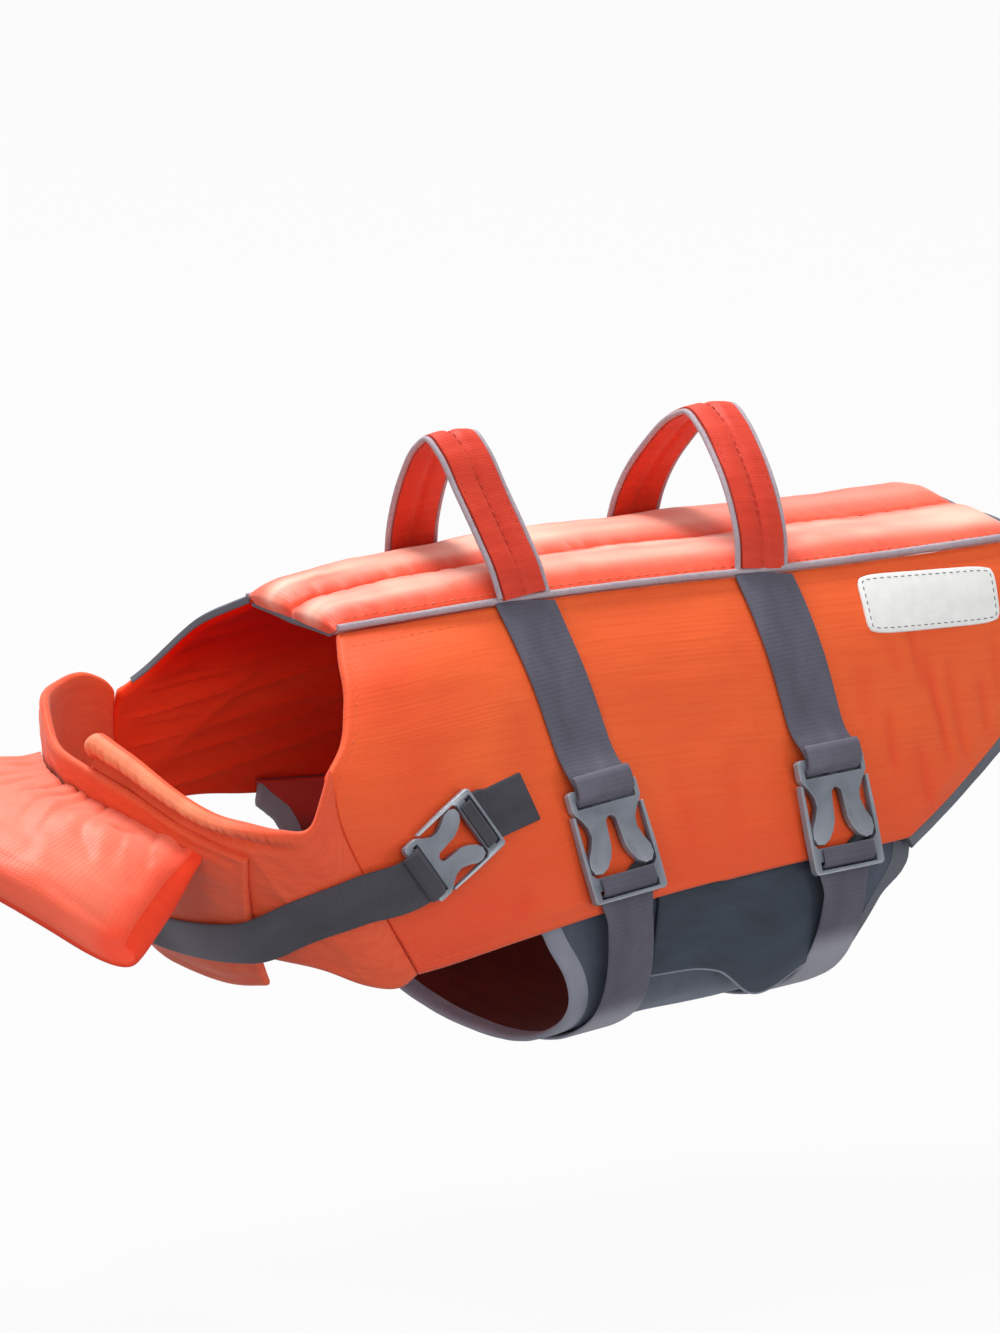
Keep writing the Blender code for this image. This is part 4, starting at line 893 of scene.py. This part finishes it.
def build_float():
    u, v = panel_grid(FLOAT_SIZE, 0.95, 0.9)
    ends = np.minimum(u, 1 - u) * FLOAT_SIZE[0]
    # Painted shade: the float is painted redder where its ends and outer edge turn down, away from the light.
    turned_down_painted_shade = 0.85 * ramp((9.0 - ends) / 9.0) + 0.45 * ramp((v - 0.84) / 0.16)      # redder there
    made = closed_wall("chin_float_cloth", u, v, float_point(u, v, 1), float_point(u, v, 0), FLOAT_SIZE,
                       ["float", "float_side"], ["chin_float"], rim=7, bulge=(1.8, 0.5, 1.8, 0.5),
                       rim_slots=(1, 0, 1, 0), tone_and_painted_shading=(turned_down_painted_shade, 1.0))


# ---- belly
def hem_girth(x, side):
    rows = HEM[side]
    x = np.clip(x, rows[0][0], rows[-1][0])
    return girth_at(x, piping_level(x) - BACK_LINING - smooth(rows, x), side)


def belly_height(x, girth):
    """The panel is tucked in under the hems on both sides, and comes up to the skin between them."""
    from_left = (girth - hem_girth(x, LEFT)) / BELLY_EASE
    from_right = (hem_girth(x, RIGHT) - girth) / BELLY_EASE
    deep_left = SIDE_WALL + BELLY_FLAP_WALL + 2 * SEAM + 0.4
    deep_right = SIDE_WALL + SEAM + 0.4
    return -deep_left * (1 - ramp(from_left)) - deep_right * (1 - ramp(from_right))


def belly_spot(u, v):
    """(x, girth) of the belly panel, u from the left to the right and v from front to rear."""
    girth = blend(100, 2 * KEEL - 94, u)
    x = blend(smooth(BELLY_FRONT, girth), smooth(BELLY_REAR, girth), v)
    girth = blend(hem_girth(x, LEFT) - BELLY_TUCK, hem_girth(x, RIGHT) + BELLY_TUCK, u)
    return blend(smooth(BELLY_FRONT, girth), smooth(BELLY_REAR, girth), v), girth


def belly_point(x, girth, extra):
    """The way out is averaged along the girth, so the panel has no step where the torso's side turns under."""
    out = unit(sum(outward(torso, x, girth + reach) for reach in range(-9, 10, 3)))
    return torso(x, girth) + out * np.asarray(belly_height(x, girth) + extra)[..., None]


def flap_curl(x, curl, swell):
    """How far the belly flap lifts towards its free edge, for shares of its curl and of its uneven swell."""
    return smooth(BELLY_FLAP_CURL, x) * curl + 1.6 * swell * (0.6 + 0.4 * noise(x / 13, 0, 75))


def build_belly():
    u, v = panel_grid(BELLY_SIZE, 2.2, 1.8)
    x, girth = belly_spot(u, v)
    edge = edge_distance(u, v, BELLY_SIZE)
    soft = ramp(edge / 12) * (0.5 * noise(x / 26, girth / 22, 71) + 0.25 * noise(x / 9, girth / 9, 72) - 0.35)
    sink = sunk(edge, 1.2, BELLY_WALL, 0.3)
    made = closed_wall("belly_cloth", u, v, belly_point(x, girth, soft - sink),
                       belly_point(x, girth, soft * 0.8 + sink - BELLY_WALL), BELLY_SIZE,
                       ["neoprene_low", "belly_inside"], ["belly_panel"],
                       # The inside is painted dark as shade, and goes to the lining's red towards the right edge.
                       tone_and_painted_shading=(0.0, ramp((u - 0.86) / 0.08)))

    u, v = panel_grid(BELLY_FLAP_SIZE, 1.4, 1.0)
    x = blend(FLAP_FRONT, FLAP_REAR, u)
    girth = blend(hem_girth(x, LEFT) - BELLY_TUCK + 1, smooth(BELLY_FLAP_HEM, x), v)
    sink = sunk(edge_distance(u, v, BELLY_FLAP_SIZE), 0.8, BELLY_FLAP_WALL, 0.2)
    base = SEAM + flap_curl(x, v ** 3, ramp((v - 0.55) * 2.2))
    made = closed_wall("belly_flap_cloth", u, v, belly_point(x, girth, base + BELLY_FLAP_WALL - sink),
                       belly_point(x, girth, base + sink), BELLY_FLAP_SIZE, ["neoprene", "neoprene"],
                       ["belly_flap"])
    x = np.linspace(FLAP_FRONT + 0.5, FLAP_REAR - 0.5, 120)
    hem = belly_point(x, smooth(BELLY_FLAP_HEM, x), SEAM + flap_curl(x, 1, 1) + BELLY_FLAP_WALL / 2)
    cord("belly_flap_hem", hem, 0.75, "front_tape")


# ---- tapes
def evened(vectors, reach):
    """Each vector averaged with its neighbours along the line."""
    padded = np.pad(vectors, ((reach, reach), (0, 0)), mode="edge")
    return unit(sum(padded[k:k + len(vectors)] for k in range(2 * reach + 1)))


def edge_frames(point, edge, inside, thick):
    """(outer, inner, away) along an edge, where point gives the piece's points at a share and a height."""
    outer, inner = point(edge, 0.0), point(edge, -thick)
    run = unit(np.gradient(outer, axis=0))
    away = outer - point(inside, 0.0)
    return outer, inner, unit(away - run * (away * run).sum(-1, keepdims=True))


TAPE_SHAPE = ((0, 1), (0.5, 1.05), (0.84, 1), (0.95, 0.55), (1, 0), (0.95, -0.55), (0.84, -1), (0.5, -1.05), (0, -1))
TAPE_OVER = 0.9         # how far a tape starts within its edge
SIDE_TAPE, BACK_TAPE, FRONT_TAPE = 5.6, 4.0, (2.4, 2.2)     # widths, and the thin front tape's width and thickness
BELLY_FRONT_TAPE, BELLY_REAR_TAPE, BELLY_TAPE_FLARE = 8.0, 5.0, 4.5


def tape(name, finish, edge_points, replaces, width, thick, reach=4):
    """Binding along an edge of (outer, inner, away) points. It turns no faster than reach points allow."""
    outer, inner, away = edge_points
    square, away = evened(unit(outer - inner), reach), evened(away, reach)
    middle = (outer + inner) / 2
    run, half = run_along(middle), thick / 2
    width = np.broadcast_to(width, len(run))
    uneven = 0.105 * noise(run / 7, 0, len(name))[:, None]
    rings = np.stack([middle + away * (width * a - TAPE_OVER)[:, None] + square * (half * b + uneven)
                      for a, b in TAPE_SHAPE], 1)
    width = float(width.mean())
    around = run_along([(a * width, b * half) for a, b in TAPE_SHAPE])
    made = loft(name, rings, around, run, finish, replaces, sharp_from=55)


NECK_FACING = {LEFT: (0.325, 0.006), RIGHT: (0.30, 0.0064)}     # share of the panel's drop, cut width in metres
NECK_WRAP = {   # share of the panel's length, height of the tape's back and face
    RIGHT: ((0.0014, -2.6, -3.0), (-0.0004, -2.2, -2.3), (0.0006, -0.7, -0.1), (0.0060, 0.2, 0.65)),
    LEFT: ((0.0200, -5.3, -5.9), (0.0110, -5.25, -5.9), (0.0045, -5.0, -5.6)),
}


def neck_facing(side, name):
    """The tape turned over a side panel's neck edge, from the piping down."""
    drop, cut = NECK_FACING[side]
    share = np.linspace(0.0, drop, 70)
    low, top = [], []
    for k, (along, back, face) in enumerate(NECK_WRAP[side]):
        x, girth, _ = side_girth(side, along, share)
        low.append(lifted(torso, x, girth, back))
        top.append(lifted(torso, x - 0.45 * (k > 0), girth, face))
    u, v = grid(np.linspace(0, 1, len(low)), share)
    made = closed_wall(f"neck_facing_{name}", u, v, np.stack(top), np.stack(low), (9.0, 220.0), ["tape"],
                       [f"neck_tape_{name}"])


def back_edge(x, t, height, low):
    """Points of the back's cut edge: its top at a height, and the lining's mitred edge at low, over the piping."""
    half, level = half_width(x, 0) - SEAM, piping_level(x)
    return (np.stack([x, half * t, level + height], -1),
            np.stack([x, (half - BACK_MITRE) * t, level + low], -1))


def build_tapes():
    down = np.linspace(0.0, 1.0, 126)
    for side, name in SIDES:
        neck_facing(side, name)

        def side_point(u, height):
            return lifted(torso, *side_girth(side, u, down)[:2], height)
        frames = edge_frames(side_point, 1.0, 0.985, SIDE_WALL)
        tape(f"rear_binding_{name}", "tape", frames, [f"rear_tape_{name}"], SIDE_TAPE, TAPE)

    t = np.linspace(-1.0, 1.0, 96)
    x = np.full_like(t, BACK_REAR)
    groove, crest = smooth(BACK_GROOVE, x), smooth(BACK_CREST, x)
    height = (1 - t ** 6) * groove + (crest - groove) * np.abs(np.sin(math.pi * t)) ** 1.2
    away = np.tile((1.0, 0.0, 0.0), (len(t), 1))
    tape("rear_binding_back", "tape", (*back_edge(x, t, np.maximum(height, 0.3), -BACK_LINING), away),
         ["rear_tape_back"], BACK_TAPE, TAPE)

    t = np.linspace(-0.97, 0.97, 60)
    x = np.full_like(t, BACK_FRONT)
    low = -BACK_LINING
    outer, inner = back_edge(x, t, low + 1.6, low - 0.4)
    shift, away = np.array((0.6, 0, 0)), np.tile((-0.9, 0.0, -0.44), (len(t), 1))
    tape("front_binding_back", "tape", (outer + shift, inner + shift, away), [], *FRONT_TAPE)

    u = np.linspace(0.0, 0.992, 180)

    def belly_edge(v, height):
        return belly_point(*belly_spot(u, v), height)
    tape("belly_binding_front", "front_tape", edge_frames(belly_edge, 0.0, 0.02, BELLY_WALL), ["belly_front_tape"],
         BELLY_FRONT_TAPE * np.clip((0.994 - u) / 0.022, 0.1, 1), TAPE, reach=14)
    tape("belly_binding_rear", "tape", edge_frames(belly_edge, 1.0, 0.98, BELLY_WALL), ["belly_rear_tape"],
         BELLY_REAR_TAPE + BELLY_TAPE_FLARE * (ramp((0.14 - u) / 0.08) + ramp((u - 0.86) / 0.06)), TAPE)


# ---- webbing and buckles
def web_shape(half, low):
    """The outline of webbing: flat with round edges and a slight crown on its face."""
    corner = [(half, 0.0), (half - 0.35, low * 0.8), (half - 1.0, low)]
    face = corner + [(half / 2, low * 1.05), (0, low * 1.08)]
    back = [(a, -b) for a, b in corner[1:]] + [(0, -low)]
    return [(-a, b) for a, b in face] + face[-2::-1] + back + [(-a, b) for a, b in back[-2::-1]]


def ribbon(name, finish, stations, width, thick, replaces=(), step=1.3, start=None, pale=None, slant=0.0):
    """Webbing through stations of (middle, across). start is (width, length, length of the change) where it starts
    with another width. pale gives its painted light from its points. slant is how far the cut at its start leans from
    square. Returns the middle, side and upward vectors along it."""
    middles = np.array([row[0] for row in stations], float)
    across = unit(np.array([row[1] for row in stations], float))
    for k in range(1, len(across)):
        if (across[k] * across[k - 1]).sum() < 0:
            across[k] *= -1
    run = run_along(middles)
    at = np.linspace(0, run[-1], int(run[-1] / step) + 2)
    line = bent(run, middles, at)
    ahead = unit(np.gradient(line, axis=0))
    up = unit(np.cross(unit(read_at(run, across, at)), ahead))
    side = unit(np.cross(ahead, up))
    shape = web_shape(width / 2, thick / 2)
    wider = np.ones_like(at) if start is None else blend(start[0] / width, 1.0, ramp((at - start[1]) / start[2]))
    lean = ahead * (slant * np.sign(side[:, 0]) * (1 - ramp(at / 9)))[:, None]
    rings = np.stack([line + side * (a * wider)[:, None] + up * b + lean * a for a, b in shape], 1)
    tone_and_painted_shading = None if pale is None else np.repeat(pale(line), len(shape))
    made = loft(name, rings, [a for a, _ in shape], at, finish, replaces, tone_and_painted_shading=tone_and_painted_shading)
    return line, side, up


def girth_station(which, girth, height):
    x = float(smooth(GIRTH_STRAPS[which], girth))
    return lifted(torso, x, girth, height + WEB / 2), torso(x + 1, girth) - torso(x - 1, girth)


def seat_on(top, bottom, hint, length, standoff):
    """A buckle's seat between two points: its across, down and out vectors, and its start."""
    down = unit(bottom - top)
    across = unit(np.cross(hint, down))
    out = unit(np.cross(down, across))
    return across, down, out, (top + bottom) / 2 - down * length / 2 + out * standoff


def girth_seat(which):
    x = float(smooth(GIRTH_STRAPS[which], BUCKLE_MIDDLE))
    ends = [girth_station(which, BUCKLE_MIDDLE + end * BUCKLE_LENGTH * 0.46, -WEB / 2)[0] for end in (-1, 1)]
    out = outward(torso, x, BUCKLE_MIDDLE)
    sag = float(((torso(x, BUCKLE_MIDDLE) - (ends[0] + ends[1]) / 2) * out).sum())
    return seat_on(ends[0], ends[1], out, BUCKLE_LENGTH, sag + BUCKLE_STANDOFF)


def neck_seat():
    x, depth = NECK_BUCKLE_CENTRE
    middle, rise = torso(x, depth), math.radians(NECK_BUCKLE_RISE)
    length = BUCKLE_LENGTH * NECK_BUCKLE_SCALE
    along = unit(torso(x + math.cos(rise), depth - math.sin(rise)) - middle) * length / 2
    return seat_on(middle - along, middle + along, outward(torso, x, depth), length, NECK_BUCKLE_STANDOFF)


def in_seat(seat, rows, scale=1.0):
    """Stations of webbing from rows of (distance down the drawn buckle, height over its plate)."""
    across, down, out, start = seat
    shrink = scale * BUCKLE_LENGTH / BUCKLE_DRAWN
    level = BUCKLE_PLATE * scale + WEB / 2 + SEAM
    return [(start + down * (row[0] * shrink) + out * (level + row[1]), across) for row in rows]


PLUG_BAR = ((-0.6, 0), (2.5, 0), (4.6, 0.1), (6.1, -0.6), (6.9, -2.4), (7.0, -4.2))
SOCKET_BAR = ((39.2, 0), (41.0, 0), (44.4, 0.1), (45.9, -0.6), (46.7, -2.4), (46.8, -4.2))


def under_socket(scale):
    low = -BUCKLE_PLATE * scale - SEAM - WEB - 0.4
    return (47.4, low + 0.2), (49.8, low)


def mirrored(half):
    return half + [(-a, b) for a, b in reversed(half) if a > 0]


def slot_outline(half, top, bottom):
    return [(-half, top), (half, top), (half, bottom), (-half, bottom)]


PLUG = [mirrored([(0, 0), (14.2, 0), (15.6, 1.2), (15.6, 8.4), (14.6, 10.4), (12.8, 13.0), (10.8, 17), (10.4, 21),
                  (12.0, 26), (14.0, 30.2), (14.4, 33.8), (13.0, 37.0), (10.0, 37.6), (7.0, 35.6), (4.6, 31.8),
                  (3.1, 27.5), (2.6, 21), (2.2, 15.6), (1.2, 14.2), (0, 13.8)]), slot_outline(13, 4.9, 8.0)]
SOCKET = [mirrored([(0, 38.8), (13.2, 38.8), (14.9, 36.5), (14.9, 11.4), (16.1, 10.8), (16.6, 30), (16.4, 48.6),
                    (15.2, 50), (0, 50)]), slot_outline(13.2, 44.7, 48.2)]
PLATE_BEVEL = 1.05


def plate(name, outlines, seat, scale, replaces):
    """A moulded plate with rounded edges, from the buckle's back face out."""
    outline = bpy.data.curves.new(name + "_outline", "CURVE")
    outline.dimensions, outline.fill_mode = "2D", "BOTH"
    outline.extrude = BUCKLE_PLATE * scale / 2
    for points in outlines:
        line = outline.splines.new("POLY")
        line.points.add(len(points) - 1)
        line.use_cyclic_u = True
        for target, (a, d) in zip(line.points, points):
            target.co = (a * scale, d * scale * BUCKLE_LENGTH / BUCKLE_DRAWN, 0, 1)
    drawn = linked(name + "_outline", outline)
    bpy.context.view_layer.update()
    mesh = bpy.data.meshes.new_from_object(drawn.evaluated_get(bpy.context.evaluated_depsgraph_get()))
    bpy.data.objects.remove(drawn)
    bpy.data.curves.remove(outline)
    bm = bmesh.new()
    bm.from_mesh(mesh)
    bmesh.ops.remove_doubles(bm, verts=bm.verts, dist=0.001)
    bmesh.ops.dissolve_limit(bm, angle_limit=0.01, verts=bm.verts, edges=bm.edges)
    sharp = [edge for edge in bm.edges if len(edge.link_faces) == 2 and edge.calc_face_angle(0) > 0.6]
    bmesh.ops.bevel(bm, geom=sharp, offset=PLATE_BEVEL * scale, segments=4, profile=0.5, affect="EDGES",
                    clamp_overlap=True)
    lift = Matrix.Translation((0, 0, BUCKLE_PLATE * scale / 2))
    bmesh.ops.transform(bm, matrix=Matrix.Scale(MM, 4) @ placing(*seat) @ lift, verts=bm.verts)
    bmesh.ops.recalc_face_normals(bm, faces=bm.faces)
    bm.to_mesh(mesh)
    bm.free()
    mesh.name = name
    mesh.materials.clear()
    mesh.materials.append(MATERIALS["plastic"])
    mesh.shade_smooth()
    mesh.set_sharp_from_angle(angle=math.radians(35))
    belong(linked(name, mesh), replaces)


def buckle(name, seat, scale=1.0):
    for half, outlines in (("plug", PLUG), ("socket", SOCKET)):
        plate(f"{name}_{half}_body", outlines, seat, scale, [f"{name}_{half}"])


FOLD = ((-5.4, 0.5), (-4.9, 1.35), (-3.6, 1.8), (-1.4, 2.05), (0.8, 2.1), (2.6, 1.9), (4.1, 1.0), (5.0, -0.6),
        (5.3, -2.4))


def fold_band(name, finish, seat, width, scale=1.0):
    """The webbing's turned-back end: a padded band over the strap that goes into the plug's slot."""
    rows = [(d * scale + 0.3, h) for d, h in FOLD]
    ribbon(name, finish, in_seat(seat, rows, scale), width + 0.6, WEB * 1.15, step=0.7)


def frame_at(frame, at):
    """A ribbon's middle, side and upward vectors at distances along it."""
    run = run_along(frame[0])
    return [read_at(run, rows, at) for rows in frame]


def strap_rows(frame, distances):
    """Two rows of sewing along the edges of the girth webbing, over a stretch of it."""
    line, side, up = frame_at(frame, distances)
    return [(line + side * s * (GIRTH_WEB / 2 - SEWN_IN) + up * (WEB / 2), up) for s in (-1, 1)]


def bar_tack(frame, distance):
    """Three close rows of sewing across the girth webbing."""
    line, side, up = frame_at(frame, distance)
    ends = np.linspace(-1, 1, 14)[:, None]
    points = line + side * ends * (GIRTH_WEB / 2 - SEWN_IN) + up * (WEB / 2 + 0.05)
    ahead, ups = unit(np.cross(up, side)), np.tile(up, (len(points), 1))
    return [(points + ahead * shift, ups) for shift in (-0.9, 0.0, 0.9)]


def build_straps():
    threads = []
    for which in GIRTH_STRAPS:
        seat = girth_seat(which)
        buckle("girth_buckle_" + which, seat)

        def strap(part, stations, width, **settings):
            return ribbon(f"webbing_{which}_{part}", "web", stations, width, WEB, [f"girth_strap_{which}_{part}"],
                          **settings)
        top = BUCKLE_MIDDLE - BUCKLE_LENGTH / 2
        upper = [girth_station(which, g, WEB_CLEAR) for g in np.linspace(0.9, top - 13, 16)]
        upper += [girth_station(which, top - 7, 1.8)] + in_seat(seat, ((-3.5, -1.2),) + PLUG_BAR)
        frame = strap("upper", upper, GIRTH_WEB, slant=WEB_SLANT)
        threads += strap_rows(frame, np.arange(4, 54, 1.5)) + bar_tack(frame, 58.0)
        lower = in_seat(seat, SOCKET_BAR + under_socket(1.0))
        lower += [girth_station(which, g, float(smooth(LOWER_HEIGHT, g))) for g in np.linspace(116, 330, 90)]
        strap("lower", lower, BELLY_WEB, start=(GIRTH_WEB - 0.6, 11.0, 12.0),
              # Painted light: the webbing low under the belly is painted paler, as if lit from below.
              pale=lambda line: ramp((STRAP_PAINTED_LIGHT_LEVEL[which] - line[:, 2]) / 14))
        fold_band(f"webbing_{which}_fold", "web_fold", seat, GIRTH_WEB)
        right = [girth_station(which, g, WEB_CLEAR) for g in np.linspace(299, 2 * KEEL - 1.5, 30)]
        threads += strap_rows(strap("right", right, GIRTH_WEB), np.arange(6, 96, 1.5))
    stitches("webbing_stitches", threads, "grey_thread", length=2.6, gap=1.0)


def collar_station(turn, z, height):
    return lifted(collar, turn, z, height + WEB / 2), collar(turn, z + 1) - collar(turn, z - 1)


def build_neck_strap():
    seat = neck_seat()
    buckle("neck_buckle", seat, NECK_BUCKLE_SCALE)
    across = seat[0]
    start = in_seat(seat, PLUG_BAR[::-1] + ((-4.5, -1.2),), NECK_BUCKLE_SCALE)
    turns = np.linspace(NECK_STRAP[0][0], NECK_STRAP[-1][0], 60)
    run = [collar_station(t, float(smooth(NECK_STRAP, t, 1)), float(smooth(NECK_STRAP, t, 2))) for t in turns]
    if run[0][1].dot(across) < 0:
        run = [(point, -up) for point, up in run]
    side = [(lifted(torso, x, float(girth_at(x, depth, RIGHT)), 0.6 + WEB / 2),
             torso(x, 2 * KEEL - depth + 1) - torso(x, 2 * KEEL - depth - 1)) for x, depth in NECK_STRAP_RIGHT]
    ribbon("webbing_neck", "web_dark", start + run + side, NECK_WEB, WEB, ["neck_strap"],
           # Painted highlight: the strap is painted paler near x = -224 on the near side, where the light falls on
           # it.
           pale=lambda line: 0.6 * bell(line[:, 0] + 224, 11) * ramp(-line[:, 1] / 30))
    fold_band("webbing_neck_fold", "web_dark", seat, NECK_WEB, NECK_BUCKLE_SCALE)
    patch = in_seat(seat, SOCKET_BAR + under_socket(NECK_BUCKLE_SCALE), NECK_BUCKLE_SCALE)
    reach = NECK_PATCH_LENGTH / 2
    for offset in (-reach - 1, -reach / 2, 0, reach / 2, reach):
        x, depth = NECK_PATCH_CENTRE[0] + offset, NECK_PATCH_CENTRE[1] - offset * 0.16
        up = torso(x, depth - 1) - torso(x, depth + 1)
        patch.append((lifted(torso, x, depth, SEAM + 0.2 + WEB / 2), up if up.dot(across) > 0 else -up))
    frame = ribbon("webbing_neck_patch", "web_dark", patch, NECK_WEB, WEB, ["neck_strap_patch"])
    end = run_along(frame[0])[-1]

    def row(back, wide):
        line, side, up = frame_at(frame, end - np.linspace(*back, 12))
        return line + side * np.linspace(*wide, 12)[:, None] + up * (WEB / 2 + 0.05), up
    box = (((2, 15), (-7.5, -7.5)), ((2, 15), (7.5, 7.5)), ((2, 2), (-7.5, 7.5)), ((15, 15), (-7.5, 7.5)),
           ((2, 15), (-7.5, 7.5)), ((2, 15), (7.5, -7.5)))
    stitches("neck_patch_stitches", [row(*line) for line in box], "grey_thread", length=1.9, gap=0.7,
             radius=0.3)


# ---- handles and label
def build_handles():
    rows = []
    half, low = HANDLE_WIDTH / 2, HANDLE_WALL / 2
    spread = np.linspace(-1, 1, 15)
    crown, groove = 1 - spread ** 2, 1.3 * bell(spread, 0.17)
    for which, (base_x, top_x, arch) in HANDLES.items():
        y, z = through(arch, np.linspace(0, 1, 110)).T
        middle = np.stack([blend(base_x, top_x, z / max(row[1] for row in arch)), y, z + piping_level(base_x)], -1)
        ends = unit(middle[[0, -1]] - middle[[1, -2]]) * HANDLE_SUNK
        middle = np.concatenate((middle[:1] + ends[:1], middle, middle[-1:] + ends[1:]))
        ahead = unit(np.gradient(middle, axis=0))
        up = unit(np.cross((1.0, 0.0, 0.0), ahead))
        up *= np.where((up[:, 1:2] * middle[:, 1:2] + up[:, 2:3] * (middle[:, 2:3] - 10)) < 0, -1, 1)
        side = unit(np.cross(ahead, up))
        run = run_along(middle)
        wave = 0.35 * noise(run[:, None] / 12, spread[None] * 2, 81)
        flat = middle[:, None] + side[:, None] * (spread * half)[:, None]
        upper = flat + up[:, None] * (low + 1.1 * crown - groove + wave)[..., None]
        under = flat - up[:, None] * (low + 0.3 * crown - 0.6 * groove)[:, None]
        u, v = grid(run / run[-1], (spread + 1) / 2)
        made = closed_wall(f"handle_cloth_{which}", u, v, upper, under, (run[-1], HANDLE_WIDTH), ["handle"],
                           [f"handle_{which}"])
        for way, name in ((-1, "a"), (1, "b")):
            cord(f"handle_piping_{which}_{name}", middle + np.array((way * (half + SEAM + HANDLE_EDGE), 0, 0)),
                 HANDLE_EDGE * 1.05, "piping", [f"handle_{which}_edge_{name}"])
            rows.append((middle + side * way * (half - 1.4) + up * (low + 0.15), up))
        rows.append((middle + up * (low + 0.1), up))
    stitches("handle_stitches", rows, "red_thread", length=2.8, radius=0.24)


def build_label():
    length, height = LABEL_SIZE
    centre_x, centre_depth = LABEL_CENTRE

    def place(a, b, lift):
        """a and b go from -1 to 1 along the label and down it."""
        x = centre_x + length / 2 * a * np.sqrt(1 - 0.10 * b ** 8)
        depth = centre_depth + height / 2 * b * np.sqrt(1 - 0.22 * a ** 8)
        x, depth = x - (depth - centre_depth) * LABEL_TILT * 3, depth + (x - centre_x) * LABEL_TILT
        return lifted(torso, x, depth, lift), outward(torso, x, depth)
    edge = (0.0, 0.2, 0.5)
    u, v = grid(marks(length, 2.0, edge), marks(height, 1.6, edge))
    face = SEAM + 0.2 + LABEL_WALL
    a, b = 2 * u - 1, 2 * v - 1
    outer = place(a, b, face - 0.4 * rounding(edge_distance(u, v, LABEL_SIZE), 0.6))[0]
    made = closed_wall("label_cloth", u, v, outer, place(a, b, SEAM)[0], LABEL_SIZE, ["label"],
                       ["label_blank"])
    turn = np.linspace(0, 2 * math.pi, 160)
    square = np.maximum(np.abs(np.cos(turn)), np.abs(np.sin(turn)))
    row = place(np.cos(turn) / square * 0.94, np.sin(turn) / square * 0.84, face)
    stitches("label_stitches", [row], "grey_thread", length=2.2, gap=0.9, radius=0.24)


# ---- camera, light and floor
SKY_LOW, SKY_HIGH, PALE = 0.22, 0.75, 0.945
LIGHTS = {      # spot, target, size, power
    "key": ((-0.1, 0.95, 1.9), (0, 0, 0), 0.9, 56),
    "fill": ((-0.5, -3.0, 0.7), (0, 0, -0.08), 2.2, 24),
    "low": ((0.35, -1.1, -0.16), (0.05, 0, -0.12), 0.25, 1.6),
    "neck": ((-1.3, -0.75, -0.02), (-0.1, 0.06, -0.05), 0.3, 2.1),
}
FLOOR_LEVEL, FLOOR_REACH = -0.26, 60.0
VIEW_AXES = np.array(((0.8526, -0.5225, 0.0), (0.1264, 0.2063, 0.9703), (-0.507, -0.827, 0.242)))
VIEW_SPOT = (-47.67, -40.94, 14000.0)      # millimetres along the view's right, up and back
VIEW_LENS = 971.7


def build_camera():
    camera = bpy.data.cameras.new("camera")
    camera.lens, camera.sensor_width, camera.sensor_fit = VIEW_LENS, 36.0, "AUTO"
    camera.clip_start, camera.clip_end = 1.0, 300.0
    made = linked("camera", camera)
    made.matrix_world = placing(*VIEW_AXES, sum(axis * way for axis, way in zip(VIEW_AXES, VIEW_SPOT)) * MM)
    bpy.context.scene.camera = made


def area_light(name, spot, target, size, power):
    light = bpy.data.lights.new(name, "AREA")
    light.shape, light.size, light.energy = "DISK", size, power
    made = linked(name, light)
    back = unit(np.array(spot) - np.array(target))
    right = unit(np.cross((0, 0, 1.0), back))
    made.matrix_world = placing(right, np.cross(back, right), back, spot)
    made.visible_camera = False


def build_stage():
    """A floor that only the camera sees as pale, under a soft sky that is brighter above than below. The floor is
    clear from below, so that the belly shows."""
    world = bpy.data.worlds.new("studio")
    bpy.context.scene.world = world
    t = Tree(world)
    split = t.node("SeparateXYZ", {"Vector": t.place("Generated")})
    sky = t.spread(split.outputs["Z"], -0.6, 0.9, SKY_LOW, SKY_HIGH)
    seen = t.node("Mix", {"Factor": t.node("LightPath").outputs["Is Camera Ray"], "A": sky, "B": PALE})
    ground = t.tree.nodes["Background"].inputs
    t.feed(ground["Color"], WHITE)
    t.feed(ground["Strength"], seen.outputs["Result"])
    t = Tree(bpy.data.materials.new("pale_floor"))
    t.set(Base_Color=(0.02, 0.02, 0.02, 1), Roughness=1.0, Specular_IOR_Level=0.0, Emission_Color=WHITE,
          Emission_Strength=PALE)
    below = t.node("NewGeometry").outputs["Backfacing"]
    shown = t.node("MixShader", {0: below, 1: t.shader.outputs[0], 2: t.node("BsdfTransparent").outputs[0]})
    t.feed(t.tree.nodes["Material Output"].inputs["Surface"], shown.outputs[0])
    mesh = bpy.data.meshes.new("floor")
    corners = [(x * FLOOR_REACH, y * FLOOR_REACH, FLOOR_LEVEL) for x, y in ((-1, -1), (1, -1), (1, 1), (-1, 1))]
    mesh.from_pydata(corners, [], [(0, 1, 2, 3)])
    mesh.materials.append(t.owner)
    floor = linked("floor", mesh)
    floor.visible_diffuse = False
    for name, row in LIGHTS.items():
        area_light(name, *row)
    bpy.context.scene.view_settings.view_transform = "Standard"


build_camera()
build_stage()
build_back()
build_piping()
for SIDE in SIDES:
    build_side(*SIDE)
build_left_arm()
build_flap()
build_float()
build_belly()
build_tapes()
build_straps()
build_neck_strap()
build_handles()
build_label()
